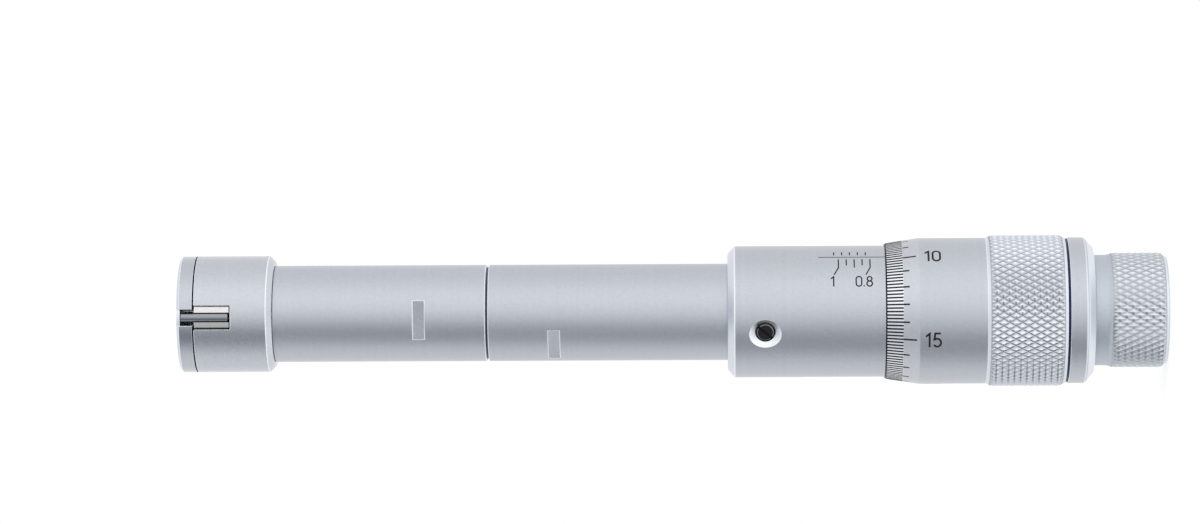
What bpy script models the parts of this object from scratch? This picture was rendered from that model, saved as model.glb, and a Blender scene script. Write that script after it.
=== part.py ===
"""Three-point inside micrometer, built from its separate pieces.

It stands on the flat end of its ratchet knob, with its axis on +Z and the measuring head on top.
Turning the thimble screws the spindle forward. The spindle pushes a ball, two rods and a cone, and
the cone pushes three anvils outwards, half as far as it moves itself.
"""

import math

import bmesh
import bpy
from mathutils import Matrix, Vector

MM = 0.001
DEGREE = math.pi / 180

# How the pieces fit
SEAT_GAP = 0.05 * MM
BORE_GAP = 0.10 * MM
RUN_GAP = 0.15 * MM
CUT_OVERRUN = 1.0 * MM

# How far the cone runs, from the anvils fully in to the largest bore, and how it spreads them
FEED_TRAVEL = 7.376 * MM
CONE_SLOPE = 0.5
ANVIL_COUNT = 3
FIRST_ANVIL_ANGLE = -93.5 * DEGREE

# Ratchet knob
KNOB_RADIUS = 9.32 * MM
KNOB_KNURL_LENGTH = 9.1 * MM
KNOB_END_CHAMFER = 0.9 * MM
KNOB_END_CHAMFER_DEPTH = 0.7 * MM
KNOB_BEVEL_LENGTH = 0.55 * MM
KNOB_NECK_RADIUS = 8.95 * MM
KNOB_NECK_LENGTH = 1.95 * MM
KNOB_KNURL_TEETH = 46
KNOB_KNURL_ROWS = 7
KNOB_KNURL_DEPTH = 0.22 * MM
KNOB_COUNTERBORE_DEPTH = 2.0 * MM
KNOB_FLOOR_THICKNESS = 2.0 * MM
KNOB_WALL = 1.65 * MM

# Ratchet screw, which holds the knob on the spindle
RATCHET_SCREW_HEAD_RADIUS = 4.0 * MM
RATCHET_SCREW_HEAD_HEIGHT = 1.5 * MM
RATCHET_SCREW_SHANK_RADIUS = 2.4 * MM
RATCHET_SCREW_THREAD_RADIUS = 1.85 * MM
RATCHET_SCREW_THREAD_LENGTH = 7.0 * MM
RATCHET_SCREW_SLOT_WIDTH = 0.8 * MM
RATCHET_SCREW_SLOT_DEPTH = 0.7 * MM

# Ratchet clutch, wheel and spring
RATCHET_TEETH = 16
RATCHET_TOOTH_HEIGHT = 0.35 * MM
RATCHET_TOOTH_INNER_RADIUS = 3.5 * MM
RATCHET_WHEEL_THICKNESS = 1.9 * MM
RATCHET_CLUTCH_THICKNESS = 2.0 * MM
RATCHET_SPRING_RADIUS = 5.6 * MM
RATCHET_SPRING_WIRE = 0.7 * MM
RATCHET_SPRING_TURNS = 2.5

# Cap at the rear of the thimble, and the dark ring in front of it
REAR_CAP_LENGTH = 4.16 * MM
REAR_CAP_CHAMFER = 1.4 * MM
REAR_CAP_CHAMFER_DEPTH = 1.6 * MM
REAR_CAP_SPIGOT_RADIUS = 6.0 * MM
REAR_CAP_SPIGOT_LENGTH = 1.4 * MM
KNOB_RUNNING_GAP = 0.24 * MM
SPACER_SUNK = 0.2 * MM
SPACER_THICKNESS = 0.28 * MM

# Thimble
GRIP_STEP = 0.5 * MM
GRIP_LENGTH = 12.8 * MM
GRIP_CHAMFER = 0.45 * MM
GRIP_KNURL_TEETH = 60
GRIP_KNURL_ROWS = 11
GRIP_KNURL_DEPTH = 0.3 * MM
THIMBLE_STEP = 1.18 * MM
THIMBLE_BARREL_LENGTH = 10.87 * MM
THIMBLE_BEVEL_LENGTH = 5.43 * MM
THIMBLE_EDGE_THICKNESS = 0.16 * MM
THIMBLE_WEB_THICKNESS = 3.6 * MM

# Sleeve, which stands out from the stem by a step
SLEEVE_STEP = 2.82 * MM
SLEEVE_SHOWN_LENGTH = 25.35 * MM
SLEEVE_HIDDEN_LENGTH = 11.5 * MM
SLEEVE_WALL = 1.57 * MM
SLEEVE_FLANGE = 3.0 * MM
SLEEVE_CHAMFER_SHARE = 0.461

# Set screw that locks the sleeve
SET_SCREW_RADIUS = 1.55 * MM
SET_SCREW_SETBACK = 6.05 * MM
SET_SCREW_ANGLE = -110.2 * DEGREE
SET_SCREW_SUNK = 0.9 * MM
SET_SCREW_END_GAP = 0.72 * MM
SET_SCREW_SINK_RADIUS = 2.6 * MM
SET_SCREW_SLOT_WIDTH = 0.45 * MM
SET_SCREW_SLOT_DEPTH = 0.6 * MM
SET_SCREW_SLOT_TILT = 40 * DEGREE

# Inner sleeve, which is the spindle's nut, and the nut that adjusts it
INNER_SLEEVE_THREAD_STEP = 0.65 * MM
INNER_SLEEVE_THREAD_LENGTH = 5.6 * MM
INNER_SLEEVE_SLITS = 3
INNER_SLEEVE_SLIT_WIDTH = 0.8 * MM
INNER_SLEEVE_SLIT_LENGTH = 12.0 * MM
INNER_SLEEVE_SOCKET_DEPTH = 13.2 * MM
ADJUSTING_NUT_SUNK = 0.42 * MM
ADJUSTING_NUT_LENGTH = 4.4 * MM
ADJUSTING_NUT_SLOT_WIDTH = 1.6 * MM
ADJUSTING_NUT_SLOT_DEPTH = 0.9 * MM
ADJUSTING_NUT_SLOTS = 4

# Spindle, whose thread is a share of the sleeve's radius, and its other parts shares of the thread's
SPINDLE_THREAD_SHARE = 0.37665
SPINDLE_TAPER_SHARE = 0.875
SPINDLE_NOSE_SHARE = 0.85
SPINDLE_TAIL_SHARE = 0.75
SPINDLE_NOSE_LENGTH = 8.0 * MM
SPINDLE_TAIL_PROUD = 0.35 * MM

# Ball, rods and the spring that returns them
BALL_RADIUS = 2.0 * MM
BALL_SEAT_DEPTH = 1.0 * MM
ROD_RADIUS = 2.5 * MM
ROD_COLLAR_GAP = 0.4 * MM
ROD_COLLAR_LENGTH = 2.5 * MM
RETURN_SPRING_LENGTH = 11.4 * MM
RETURN_SPRING_WIRE = 0.7 * MM
RETURN_SPRING_TURNS = 4.5

# Stems
STEM_RADIUS = 7.8 * MM
STEM_SPIGOT_STEP = 1.3 * MM
REAR_STEM_SHOWN_LENGTH = 38.8 * MM
FRONT_STEM_SHOWN_LENGTH = 34.55 * MM
STEM_CHAMBER_WALL = 1.6 * MM
STEM_JOINT_CHAMFER = 0.22 * MM
STEM_JOINT_CHAMFER_DEPTH = 0.4 * MM
STEM_JOINT_SPIGOT_STEP = 2.3 * MM
STEM_JOINT_SPIGOT_LENGTH = 8.2 * MM
STEM_HEAD_SPIGOT_LENGTH = 2.5 * MM
FLAT_WIDTH = 2.0 * MM
FLAT_DEPTH = 0.75 * MM
REAR_FLAT_SETBACK = 10.8 * MM
REAR_FLAT_ANGLE = -136 * DEGREE
FRONT_FLAT_ADVANCE = 10.95 * MM
FRONT_FLAT_ANGLE = -99.1 * DEGREE

# Measuring head
HEAD_RADIUS = 9.4 * MM
HEAD_BODY_LENGTH = 12.55 * MM
HEAD_REAR_CHAMFER = 0.9 * MM
HEAD_BODY_SLOT_WIDTH = 3.84 * MM
HEAD_BODY_SLOT_LENGTH = 5.85 * MM
HEAD_BODY_SLOT_CORNER = 0.28 * MM
HEAD_CAP_LENGTH = 2.65 * MM
HEAD_CAP_SLOT_WIDTH = 2.65 * MM
HEAD_CAP_WALL = 0.55 * MM
HEAD_CAP_LIP_SUNK = 0.65 * MM
HEAD_CAP_FRONT_CHAMFER = 0.4 * MM
HEAD_CAP_REAR_CHAMFER = 0.22 * MM
HEAD_CAP_GAP = 0.1 * MM

# Screws that hold the head's cap
CAP_SCREW_INSET = 2.1 * MM
CAP_SCREW_HEAD_RADIUS = 1.3 * MM
CAP_SCREW_SHANK_RADIUS = 0.75 * MM
CAP_SCREW_LENGTH = 6.0 * MM
CAP_SCREW_SLOT_WIDTH = 0.4 * MM
CAP_SCREW_SLOT_DEPTH = 0.35 * MM

# Cone
CONE_BORE_SHARE = 0.6245
CONE_GUIDE_LENGTH = 2.75 * MM
CONE_TAPER_LENGTH = 1.5 * MM
CONE_LAP = 0.35 * MM
CONE_ROD_SOCKET_DEPTH = 1.8 * MM

# Anvils
ANVIL_WIDTH = 3.6 * MM
ANVIL_BLADE_WIDTH = 1.41 * MM
ANVIL_END_GAP = 0.15 * MM
ANVIL_SUNK_AT_REST = 0.388 * MM
ANVIL_SHOULDER_SUNK = 0.95 * MM
ANVIL_CROWN_RADIUS = 5.0 * MM
ANVIL_TIP_HEIGHT = 0.8 * MM
ANVIL_TIP_CROWN_RADIUS = 1.0 * MM

# Wire springs that draw the anvils in
ANVIL_SPRING_WIRE = 0.4 * MM
ANVIL_SPRING_POCKET_DEPTH = 0.55 * MM
ANVIL_SPRING_ANCHOR_SUNK = 2.0 * MM
ANVIL_SPRING_ANCHOR_ADVANCE = 0.7 * MM
ANVIL_SPRING_ANCHOR_DEPTH = 1.0 * MM
ANVIL_SPRING_LEAN = 2.5 * MM
ANVIL_SPRING_PIN_SETBACK = 0.75 * MM
ANVIL_SPRING_PIN_DEPTH = 0.5 * MM

# How finely the round pieces are faceted
OUTER_FACETS = 36
INNER_FACETS = 24
SMALL_FACETS = 16
WIRE_POINTS_PER_TURN = 8
WIRE_BEVEL_RESOLUTION = 2
CROWN_STEPS = 6
MERGE_DISTANCE = 0.001 * MM
SMOOTH_UNDER = 35 * DEGREE

# Sizes that follow the head, the stem and the sleeve
ANVIL_TRAVEL = FEED_TRAVEL * CONE_SLOPE
ANVIL_REACH = HEAD_RADIUS - ANVIL_SUNK_AT_REST
ANVIL_SPRING_ANCHOR_RADIUS = HEAD_RADIUS - ANVIL_SPRING_ANCHOR_SUNK
ANVIL_SPRING_PIN_RADIUS = ANVIL_SPRING_ANCHOR_RADIUS - ANVIL_SPRING_LEAN
CAP_SCREW_CIRCLE_RADIUS = HEAD_RADIUS - CAP_SCREW_INSET
CONE_BORE_RADIUS = HEAD_RADIUS * CONE_BORE_SHARE
CONE_RADIUS = CONE_BORE_RADIUS - RUN_GAP
FLAT_FROM_AXIS = STEM_RADIUS - FLAT_DEPTH
STEM_SPIGOT_RADIUS = STEM_RADIUS - STEM_SPIGOT_STEP
STEM_JOINT_SPIGOT_RADIUS = STEM_RADIUS - STEM_JOINT_SPIGOT_STEP
STEM_CHAMBER_RADIUS = STEM_SPIGOT_RADIUS - STEM_CHAMBER_WALL
ROD_COLLAR_RADIUS = STEM_CHAMBER_RADIUS - ROD_COLLAR_GAP
SLEEVE_RADIUS = STEM_RADIUS + SLEEVE_STEP
SET_SCREW_LENGTH = SLEEVE_RADIUS - SET_SCREW_SUNK - STEM_SPIGOT_RADIUS - SET_SCREW_END_GAP
RETURN_SPRING_RADIUS = (ROD_RADIUS + STEM_CHAMBER_RADIUS) / 2
SLEEVE_CHAMFER = SLEEVE_STEP * SLEEVE_CHAMFER_SHARE
SLEEVE_BORE_RADIUS = SLEEVE_RADIUS - SLEEVE_WALL
INNER_SLEEVE_RADIUS = SLEEVE_BORE_RADIUS - BORE_GAP
INNER_SLEEVE_THREAD_RADIUS = INNER_SLEEVE_RADIUS - INNER_SLEEVE_THREAD_STEP
ADJUSTING_NUT_RADIUS = SLEEVE_RADIUS - ADJUSTING_NUT_SUNK
SPINDLE_THREAD_RADIUS = SLEEVE_RADIUS * SPINDLE_THREAD_SHARE
SPINDLE_TAPER_SMALL_RADIUS = SPINDLE_THREAD_RADIUS * SPINDLE_TAPER_SHARE
SPINDLE_NOSE_RADIUS = SPINDLE_THREAD_RADIUS * SPINDLE_NOSE_SHARE
SPINDLE_TAIL_RADIUS = SPINDLE_THREAD_RADIUS * SPINDLE_TAIL_SHARE
THIMBLE_RADIUS = SLEEVE_RADIUS + THIMBLE_STEP
GRIP_RADIUS = THIMBLE_RADIUS + GRIP_STEP
REAR_CAP_RADIUS = THIMBLE_RADIUS
SPACER_RADIUS = REAR_CAP_RADIUS - SPACER_SUNK

# Stations along the axis, from the knob's flat end to the head's face
KNOB_TOP = KNOB_KNURL_LENGTH + KNOB_BEVEL_LENGTH + KNOB_NECK_LENGTH
KNOB_FLOOR_TOP = KNOB_COUNTERBORE_DEPTH + KNOB_FLOOR_THICKNESS
REAR_CAP_BOTTOM = KNOB_TOP + KNOB_RUNNING_GAP
REAR_CAP_TOP = REAR_CAP_BOTTOM + REAR_CAP_LENGTH
SPACER_BOTTOM = REAR_CAP_TOP + SEAT_GAP
SPACER_TOP = SPACER_BOTTOM + SPACER_THICKNESS
THIMBLE_BOTTOM = SPACER_TOP + SEAT_GAP
THIMBLE_WEB_TOP = THIMBLE_BOTTOM + THIMBLE_WEB_THICKNESS
GRIP_TOP = THIMBLE_BOTTOM + GRIP_LENGTH
THIMBLE_BARREL_TOP = GRIP_TOP + THIMBLE_BARREL_LENGTH
THIMBLE_TOP = THIMBLE_BARREL_TOP + THIMBLE_BEVEL_LENGTH
SLEEVE_TOP = THIMBLE_TOP + SLEEVE_SHOWN_LENGTH
SLEEVE_BOTTOM = THIMBLE_TOP - SLEEVE_HIDDEN_LENGTH
SLEEVE_FLANGE_BOTTOM = SLEEVE_TOP - SLEEVE_FLANGE
REAR_STEM_TOP = SLEEVE_TOP + REAR_STEM_SHOWN_LENGTH
FRONT_STEM_TOP = REAR_STEM_TOP + FRONT_STEM_SHOWN_LENGTH
HEAD_BOTTOM = FRONT_STEM_TOP
HEAD_BODY_TOP = HEAD_BOTTOM + HEAD_BODY_LENGTH
HEAD_CAP_BOTTOM = HEAD_BODY_TOP + HEAD_CAP_GAP
HEAD_CAP_TOP = HEAD_CAP_BOTTOM + HEAD_CAP_LENGTH

# Bores and what runs in them
ROD_BORE_RADIUS = ROD_RADIUS + RUN_GAP
SPINDLE_BORE_RADIUS = SPINDLE_THREAD_RADIUS + RUN_GAP
THIMBLE_BORE_RADIUS = SLEEVE_RADIUS + RUN_GAP
INNER_SLEEVE_TOP = SLEEVE_FLANGE_BOTTOM - SEAT_GAP
INNER_SLEEVE_BOTTOM = SLEEVE_BOTTOM - INNER_SLEEVE_THREAD_LENGTH
KNOB_CHAMBER_RADIUS = KNOB_NECK_RADIUS - KNOB_WALL
RATCHET_DISC_RADIUS = KNOB_CHAMBER_RADIUS - RUN_GAP
SPINDLE_BOTTOM = REAR_CAP_BOTTOM - SPINDLE_TAIL_PROUD
REAR_STEM_BOTTOM = INNER_SLEEVE_TOP - INNER_SLEEVE_SOCKET_DEPTH + SEAT_GAP
SPINDLE_TOP = REAR_STEM_BOTTOM + SPINDLE_NOSE_LENGTH
BALL_CENTRE = SPINDLE_TOP - BALL_SEAT_DEPTH + SEAT_GAP + BALL_RADIUS
REAR_ROD_BOTTOM = BALL_CENTRE + BALL_RADIUS - BALL_SEAT_DEPTH + SEAT_GAP
RETURN_SPRING_BOTTOM = REAR_ROD_BOTTOM + ROD_COLLAR_LENGTH + SEAT_GAP
STEM_CHAMBER_TOP = RETURN_SPRING_BOTTOM + RETURN_SPRING_LENGTH + SEAT_GAP
STEM_SOCKET_BOTTOM = REAR_STEM_TOP - STEM_JOINT_SPIGOT_LENGTH - SEAT_GAP
STEM_JOINT_SOCKET_RADIUS = STEM_JOINT_SPIGOT_RADIUS + BORE_GAP
HEAD_SOCKET_TOP = HEAD_BOTTOM + STEM_HEAD_SPIGOT_LENGTH + SEAT_GAP
HEAD_SLOT_BOTTOM = HEAD_BODY_TOP - HEAD_BODY_SLOT_LENGTH
HEAD_CAP_WALL_BOTTOM = HEAD_CAP_TOP - HEAD_CAP_WALL
ANVIL_BOTTOM = HEAD_SLOT_BOTTOM + ANVIL_END_GAP
ANVIL_BLOCK_TOP = HEAD_BODY_TOP - ANVIL_END_GAP
ANVIL_BLADE_TOP = HEAD_CAP_WALL_BOTTOM - ANVIL_END_GAP
ANVIL_SHOULDER = HEAD_RADIUS - ANVIL_SHOULDER_SUNK
CONE_TOP = ANVIL_BOTTOM + CONE_LAP
CONE_NOSE_RADIUS = CONE_RADIUS - CONE_TAPER_LENGTH * CONE_SLOPE
CONE_BOTTOM = CONE_TOP - CONE_TAPER_LENGTH - CONE_GUIDE_LENGTH
RATCHET_WHEEL_TOP = SPINDLE_BOTTOM - SEAT_GAP
RATCHET_WHEEL_BOTTOM = RATCHET_WHEEL_TOP - RATCHET_WHEEL_THICKNESS
RATCHET_CLUTCH_TOP = RATCHET_WHEEL_BOTTOM - RUN_GAP
RATCHET_CLUTCH_BOTTOM = RATCHET_CLUTCH_TOP - RATCHET_CLUTCH_THICKNESS

# Where an outline for a flat piece lies: in the plane of the axis, across it, or facing out
SIDE_ON = Matrix(((1, 0, 0, 0), (0, 0, -1, 0), (0, 1, 0, 0), (0, 0, 0, 1)))
END_ON = Matrix(((0, 1, 0, 0), (1, 0, 0, 0), (0, 0, -1, 0), (0, 0, 0, 1)))
FACE_ON = Matrix(((0, 0, 1, 0), (1, 0, 0, 0), (0, 1, 0, 0), (0, 0, 0, 1)))


def clear_scene():
    for obj in list(bpy.data.objects):
        bpy.data.objects.remove(obj)


def new_collection(name):
    collection = bpy.data.collections.new(name)
    bpy.context.scene.collection.children.link(collection)
    return collection


def new_material(name, colour, metallic, roughness):
    material = bpy.data.materials.new(name)
    material.use_nodes = True
    shader = material.node_tree.nodes["Principled BSDF"]
    shader.inputs["Base Color"].default_value = (*colour, 1)
    shader.inputs["Metallic"].default_value = metallic
    shader.inputs["Roughness"].default_value = roughness
    return material


clear_scene()
PARTS = new_collection("inside_micrometer")
CUTTERS = new_collection("cutters")

SATIN_CHROME = new_material("satin_chrome", (0.64, 0.66, 0.70), 1.0, 0.34)
GROUND_STEEL = new_material("ground_steel", (0.56, 0.57, 0.58), 1.0, 0.22)
CARBIDE = new_material("carbide", (0.30, 0.31, 0.33), 1.0, 0.18)
SPRING_STEEL = new_material("spring_steel", (0.42, 0.43, 0.45), 1.0, 0.30)
BLACK_OXIDE = new_material("black_oxide", (0.02, 0.02, 0.02), 0.6, 0.42)
NUT_BRASS = new_material("nut_brass", (0.72, 0.55, 0.28), 1.0, 0.32)
DARK_RUBBER = new_material("dark_rubber", (0.03, 0.05, 0.12), 0.0, 0.55)


def add_object(name, mesh, collection, material=None):
    obj = bpy.data.objects.new(name, mesh)
    collection.objects.link(obj)
    if material:
        mesh.materials.append(material)
    if collection is CUTTERS:
        obj.hide_render = True
        obj.display_type = "WIRE"
    return obj


def turned(name, outline, facets, collection, material=None):
    """Turn an outline of (radius, height) points, which runs down the outer side and back up the bore."""
    mesh = bpy.data.meshes.new(name)
    on_axis = outline[0][0] == 0
    joins = [(i, i + 1) for i in range(len(outline) - 1)]
    if not on_axis:
        joins.append((len(outline) - 1, 0))
    mesh.from_pydata([(radius, 0, height) for radius, height in outline], joins, [])
    obj = add_object(name, mesh, collection, material)
    turn = obj.modifiers.new("Turn", "SCREW")
    turn.steps = facets
    turn.render_steps = facets
    turn.use_merge_vertices = True
    turn.merge_threshold = MERGE_DISTANCE
    turn.use_smooth_shade = False
    return obj


def evaluated_mesh(obj):
    bpy.context.view_layer.update()
    graph = bpy.context.evaluated_depsgraph_get()
    return bpy.data.meshes.new_from_object(obj.evaluated_get(graph))


def welded(mesh):
    shell = bmesh.new()
    shell.from_mesh(mesh)
    bmesh.ops.remove_doubles(shell, verts=shell.verts, dist=MERGE_DISTANCE)
    bmesh.ops.recalc_face_normals(shell, faces=shell.faces)
    shell.to_mesh(mesh)
    shell.free()
    return mesh


def flat_piece(name, outline, thickness, place, collection, material=None):
    """Extrude a flat outline by its thickness, centred on its own plane, and put it in its place."""
    curve = bpy.data.curves.new(name, "CURVE")
    curve.dimensions = "2D"
    curve.fill_mode = "BOTH"
    curve.extrude = thickness / 2
    spline = curve.splines.new("POLY")
    spline.points.add(len(outline) - 1)
    for point, (x, y) in zip(spline.points, outline):
        point.co = (x, y, 0, 1)
    spline.use_cyclic_u = True
    guide = bpy.data.objects.new(name + "_outline", curve)
    bpy.context.scene.collection.objects.link(guide)
    mesh = welded(evaluated_mesh(guide))
    bpy.data.objects.remove(guide)
    mesh.transform(place)
    return add_object(name, mesh, collection, material)


def wire(name, points, wire_diameter, material):
    """A round wire through the points."""
    curve = bpy.data.curves.new(name, "CURVE")
    curve.dimensions = "3D"
    curve.bevel_depth = wire_diameter / 2
    curve.bevel_resolution = WIRE_BEVEL_RESOLUTION
    curve.use_fill_caps = True
    spline = curve.splines.new("POLY")
    spline.points.add(len(points) - 1)
    for point, place in zip(spline.points, points):
        point.co = (*place, 1)
    obj = bpy.data.objects.new(name, curve)
    PARTS.objects.link(obj)
    curve.materials.append(material)
    return obj


def coil(name, radius, wire_diameter, turns, bottom, length, material):
    """A compression spring between two heights."""
    lowest = bottom + wire_diameter / 2
    rise = length - wire_diameter
    count = round(turns * WIRE_POINTS_PER_TURN)
    points = []
    for i in range(count + 1):
        angle = 2 * math.pi * turns * i / count
        height = lowest + rise * i / count
        points.append((radius * math.cos(angle), radius * math.sin(angle), height))
    return wire(name, points, wire_diameter, material)


def box(name, size, centre, turn):
    """A box-shaped cutter whose centre is given before it is turned about the axis."""
    bpy.ops.mesh.primitive_cube_add(size=1)
    obj = bpy.context.object
    obj.name = name
    obj.data.transform(Matrix.Translation(centre) @ Matrix.Diagonal((*size, 1)))
    obj.rotation_euler.z = turn
    move_to(obj, CUTTERS)
    return obj


def rod_cutter(name, radius, start, end, facets, end_radius=None):
    """A cylinder or a cone from one point to another."""
    start = Vector(start)
    end = Vector(end)
    reach = end - start
    mesh = bpy.data.meshes.new(name)
    shell = bmesh.new()
    bmesh.ops.create_cone(
        shell,
        cap_ends=True,
        segments=facets,
        radius1=radius,
        radius2=radius if end_radius is None else end_radius,
        depth=reach.length,
    )
    shell.to_mesh(mesh)
    shell.free()
    turn = Vector((0, 0, 1)).rotation_difference(reach).to_matrix().to_4x4()
    mesh.transform(Matrix.Translation((start + end) / 2) @ turn)
    return add_object(name, mesh, CUTTERS)


def move_to(obj, collection):
    for holder in list(obj.users_collection):
        holder.objects.unlink(obj)
    collection.objects.link(obj)
    if collection is CUTTERS:
        obj.hide_render = True
        obj.display_type = "WIRE"


def cut(obj, cutter, operation="DIFFERENCE"):
    change = obj.modifiers.new(cutter.name, "BOOLEAN")
    change.operation = operation
    change.object = cutter
    change.solver = "EXACT"


def along(angle, radius, height):
    """The point at an angle round the axis, a distance from it and a height."""
    return Vector((radius * math.cos(angle), radius * math.sin(angle), height))


def anvil_angle(index):
    return FIRST_ANVIL_ANGLE + 2 * math.pi * index / ANVIL_COUNT


def smooth_by_angle():
    """Geometry nodes that shade a piece smooth but leave its corners sharp."""
    group = bpy.data.node_groups.new("smooth_by_angle", "GeometryNodeTree")
    group.is_modifier = True
    group.interface.new_socket("Geometry", in_out="INPUT", socket_type="NodeSocketGeometry")
    group.interface.new_socket("Geometry", in_out="OUTPUT", socket_type="NodeSocketGeometry")
    entry = group.nodes.new("NodeGroupInput")
    leave = group.nodes.new("NodeGroupOutput")
    faces = group.nodes.new("GeometryNodeSetShadeSmooth")
    corners = group.nodes.new("GeometryNodeSetShadeSmooth")
    corners.domain = "EDGE"
    corners.inputs["Shade Smooth"].default_value = False
    edge_angle = group.nodes.new("GeometryNodeInputMeshEdgeAngle")
    is_corner = group.nodes.new("FunctionNodeCompare")
    is_corner.operation = "GREATER_THAN"
    is_corner.inputs["B"].default_value = SMOOTH_UNDER
    group.links.new(entry.outputs["Geometry"], faces.inputs["Geometry"])
    group.links.new(faces.outputs["Geometry"], corners.inputs["Geometry"])
    group.links.new(edge_angle.outputs["Unsigned Angle"], is_corner.inputs["A"])
    group.links.new(is_corner.outputs["Result"], corners.inputs["Selection"])
    group.links.new(corners.outputs["Geometry"], leave.inputs["Geometry"])
    return group


def shade_pieces():
    group = smooth_by_angle()
    for piece in PARTS.objects:
        if piece.type == "MESH":
            shading = piece.modifiers.new("Smooth by angle", "NODES")
            shading.node_group = group


def ramp_radius(height):
    """How far the anvils' sloping inner faces lie from the axis at a height."""
    cone_radius = CONE_NOSE_RADIUS + (CONE_TOP - height) * CONE_SLOPE
    return cone_radius + RUN_GAP


def crown(half_width, peak, radius):
    """Points along a crowned top, from one side to the other, as (across, out)."""
    points = []
    for i in range(CROWN_STEPS + 1):
        across = half_width * (2 * i / CROWN_STEPS - 1)
        points.append((across, peak - radius + math.sqrt(radius**2 - across**2)))
    return points


def add_knurl(piece, bottom, top, radius, depth, teeth, rows):
    """Join a diamond-knurled band onto a piece, sunk into it by the knurl's depth.

    Every other point of an even grid round the band is a peak and the rest are the crossings of the
    grooves, so each quad is split along its groove. The first and last rows run out without peaks.
    """
    groove = radius - depth
    inner = groove - depth
    row_height = (top - bottom) / rows
    outline = [(inner, top)]
    outline += [(groove, top - row_height * i) for i in range(rows + 1)]
    outline += [(inner, bottom)]
    name = piece.name + "_knurl"
    blank = turned(name, outline, 2 * teeth, CUTTERS)
    mesh = evaluated_mesh(blank)
    bpy.data.objects.remove(blank)
    for vertex in mesh.vertices:
        row = round((top - vertex.co.z) / row_height)
        spoke = round(math.atan2(vertex.co.y, vertex.co.x) * teeth / math.pi)
        on_groove = math.hypot(vertex.co.x, vertex.co.y) > (inner + groove) / 2
        if on_groove and 0 < row < rows and (row + spoke) % 2:
            vertex.co.x *= radius / groove
            vertex.co.y *= radius / groove
    shell = bmesh.new()
    shell.from_mesh(mesh)
    bmesh.ops.triangulate(shell, faces=shell.faces, quad_method="SHORT_EDGE")
    shell.to_mesh(mesh)
    shell.free()
    cut(piece, add_object(name, mesh, CUTTERS), "UNION")


def make_ratchet_knob():
    body_radius = KNOB_RADIUS - KNOB_KNURL_DEPTH - SEAT_GAP
    flat_radius = KNOB_RADIUS - KNOB_END_CHAMFER_DEPTH
    counterbore_radius = RATCHET_SCREW_HEAD_RADIUS + RUN_GAP
    hole_radius = RATCHET_SCREW_SHANK_RADIUS + RUN_GAP
    knob = turned(
        "ratchet_knob",
        [
            (KNOB_CHAMBER_RADIUS, KNOB_TOP),
            (KNOB_NECK_RADIUS, KNOB_TOP),
            (KNOB_NECK_RADIUS, KNOB_KNURL_LENGTH + KNOB_BEVEL_LENGTH),
            (body_radius, KNOB_KNURL_LENGTH),
            (body_radius, KNOB_END_CHAMFER),
            (flat_radius, 0),
            (counterbore_radius, 0),
            (counterbore_radius, KNOB_COUNTERBORE_DEPTH),
            (hole_radius, KNOB_COUNTERBORE_DEPTH),
            (hole_radius, KNOB_FLOOR_TOP),
            (KNOB_CHAMBER_RADIUS, KNOB_FLOOR_TOP),
        ],
        OUTER_FACETS,
        PARTS,
        SATIN_CHROME,
    )
    add_knurl(
        knob,
        KNOB_END_CHAMFER,
        KNOB_KNURL_LENGTH,
        KNOB_RADIUS,
        KNOB_KNURL_DEPTH,
        KNOB_KNURL_TEETH,
        KNOB_KNURL_ROWS,
    )


def make_ratchet_screw():
    head_top = KNOB_COUNTERBORE_DEPTH - SEAT_GAP
    head_bottom = head_top - RATCHET_SCREW_HEAD_HEIGHT
    shoulder = RATCHET_WHEEL_BOTTOM - SEAT_GAP
    screw = turned(
        "ratchet_screw",
        [
            (0, shoulder + RATCHET_SCREW_THREAD_LENGTH),
            (RATCHET_SCREW_THREAD_RADIUS, shoulder + RATCHET_SCREW_THREAD_LENGTH),
            (RATCHET_SCREW_THREAD_RADIUS, shoulder),
            (RATCHET_SCREW_SHANK_RADIUS, shoulder),
            (RATCHET_SCREW_SHANK_RADIUS, head_top),
            (RATCHET_SCREW_HEAD_RADIUS, head_top),
            (RATCHET_SCREW_HEAD_RADIUS, head_bottom),
            (0, head_bottom),
        ],
        SMALL_FACETS,
        PARTS,
        GROUND_STEEL,
    )
    slot_size = (
        2 * RATCHET_SCREW_HEAD_RADIUS + 2 * CUT_OVERRUN,
        RATCHET_SCREW_SLOT_WIDTH,
        RATCHET_SCREW_SLOT_DEPTH + CUT_OVERRUN,
    )
    slot_centre = head_bottom + (RATCHET_SCREW_SLOT_DEPTH - CUT_OVERRUN) / 2
    cut(screw, box("ratchet_screw_slot", slot_size, (0, 0, slot_centre), 0))


def toothed_disc(name, bore_radius, plain_face, toothed_face, material):
    """A disc with V teeth on one face, made by moving every other spoke of that face."""
    inwards = math.copysign(RATCHET_TOOTH_HEIGHT, plain_face - toothed_face)
    outline = [
        (bore_radius, plain_face),
        (RATCHET_DISC_RADIUS, plain_face),
        (RATCHET_DISC_RADIUS, toothed_face),
        (RATCHET_TOOTH_INNER_RADIUS, toothed_face),
        (bore_radius, toothed_face),
    ]
    if plain_face < toothed_face:
        outline.reverse()
    blank = turned(name, outline, 2 * RATCHET_TEETH, PARTS)
    mesh = evaluated_mesh(blank)
    bpy.data.objects.remove(blank)
    spoke_step = math.pi / RATCHET_TEETH
    for vertex in mesh.vertices:
        spoke = round(math.atan2(vertex.co.y, vertex.co.x) / spoke_step)
        on_face = abs(vertex.co.z - toothed_face) < MERGE_DISTANCE
        outside_hub = math.hypot(vertex.co.x, vertex.co.y) > RATCHET_TOOTH_INNER_RADIUS - MERGE_DISTANCE
        if on_face and outside_hub and spoke % 2:
            vertex.co.z += inwards
    return add_object(name, mesh, PARTS, material)


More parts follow.
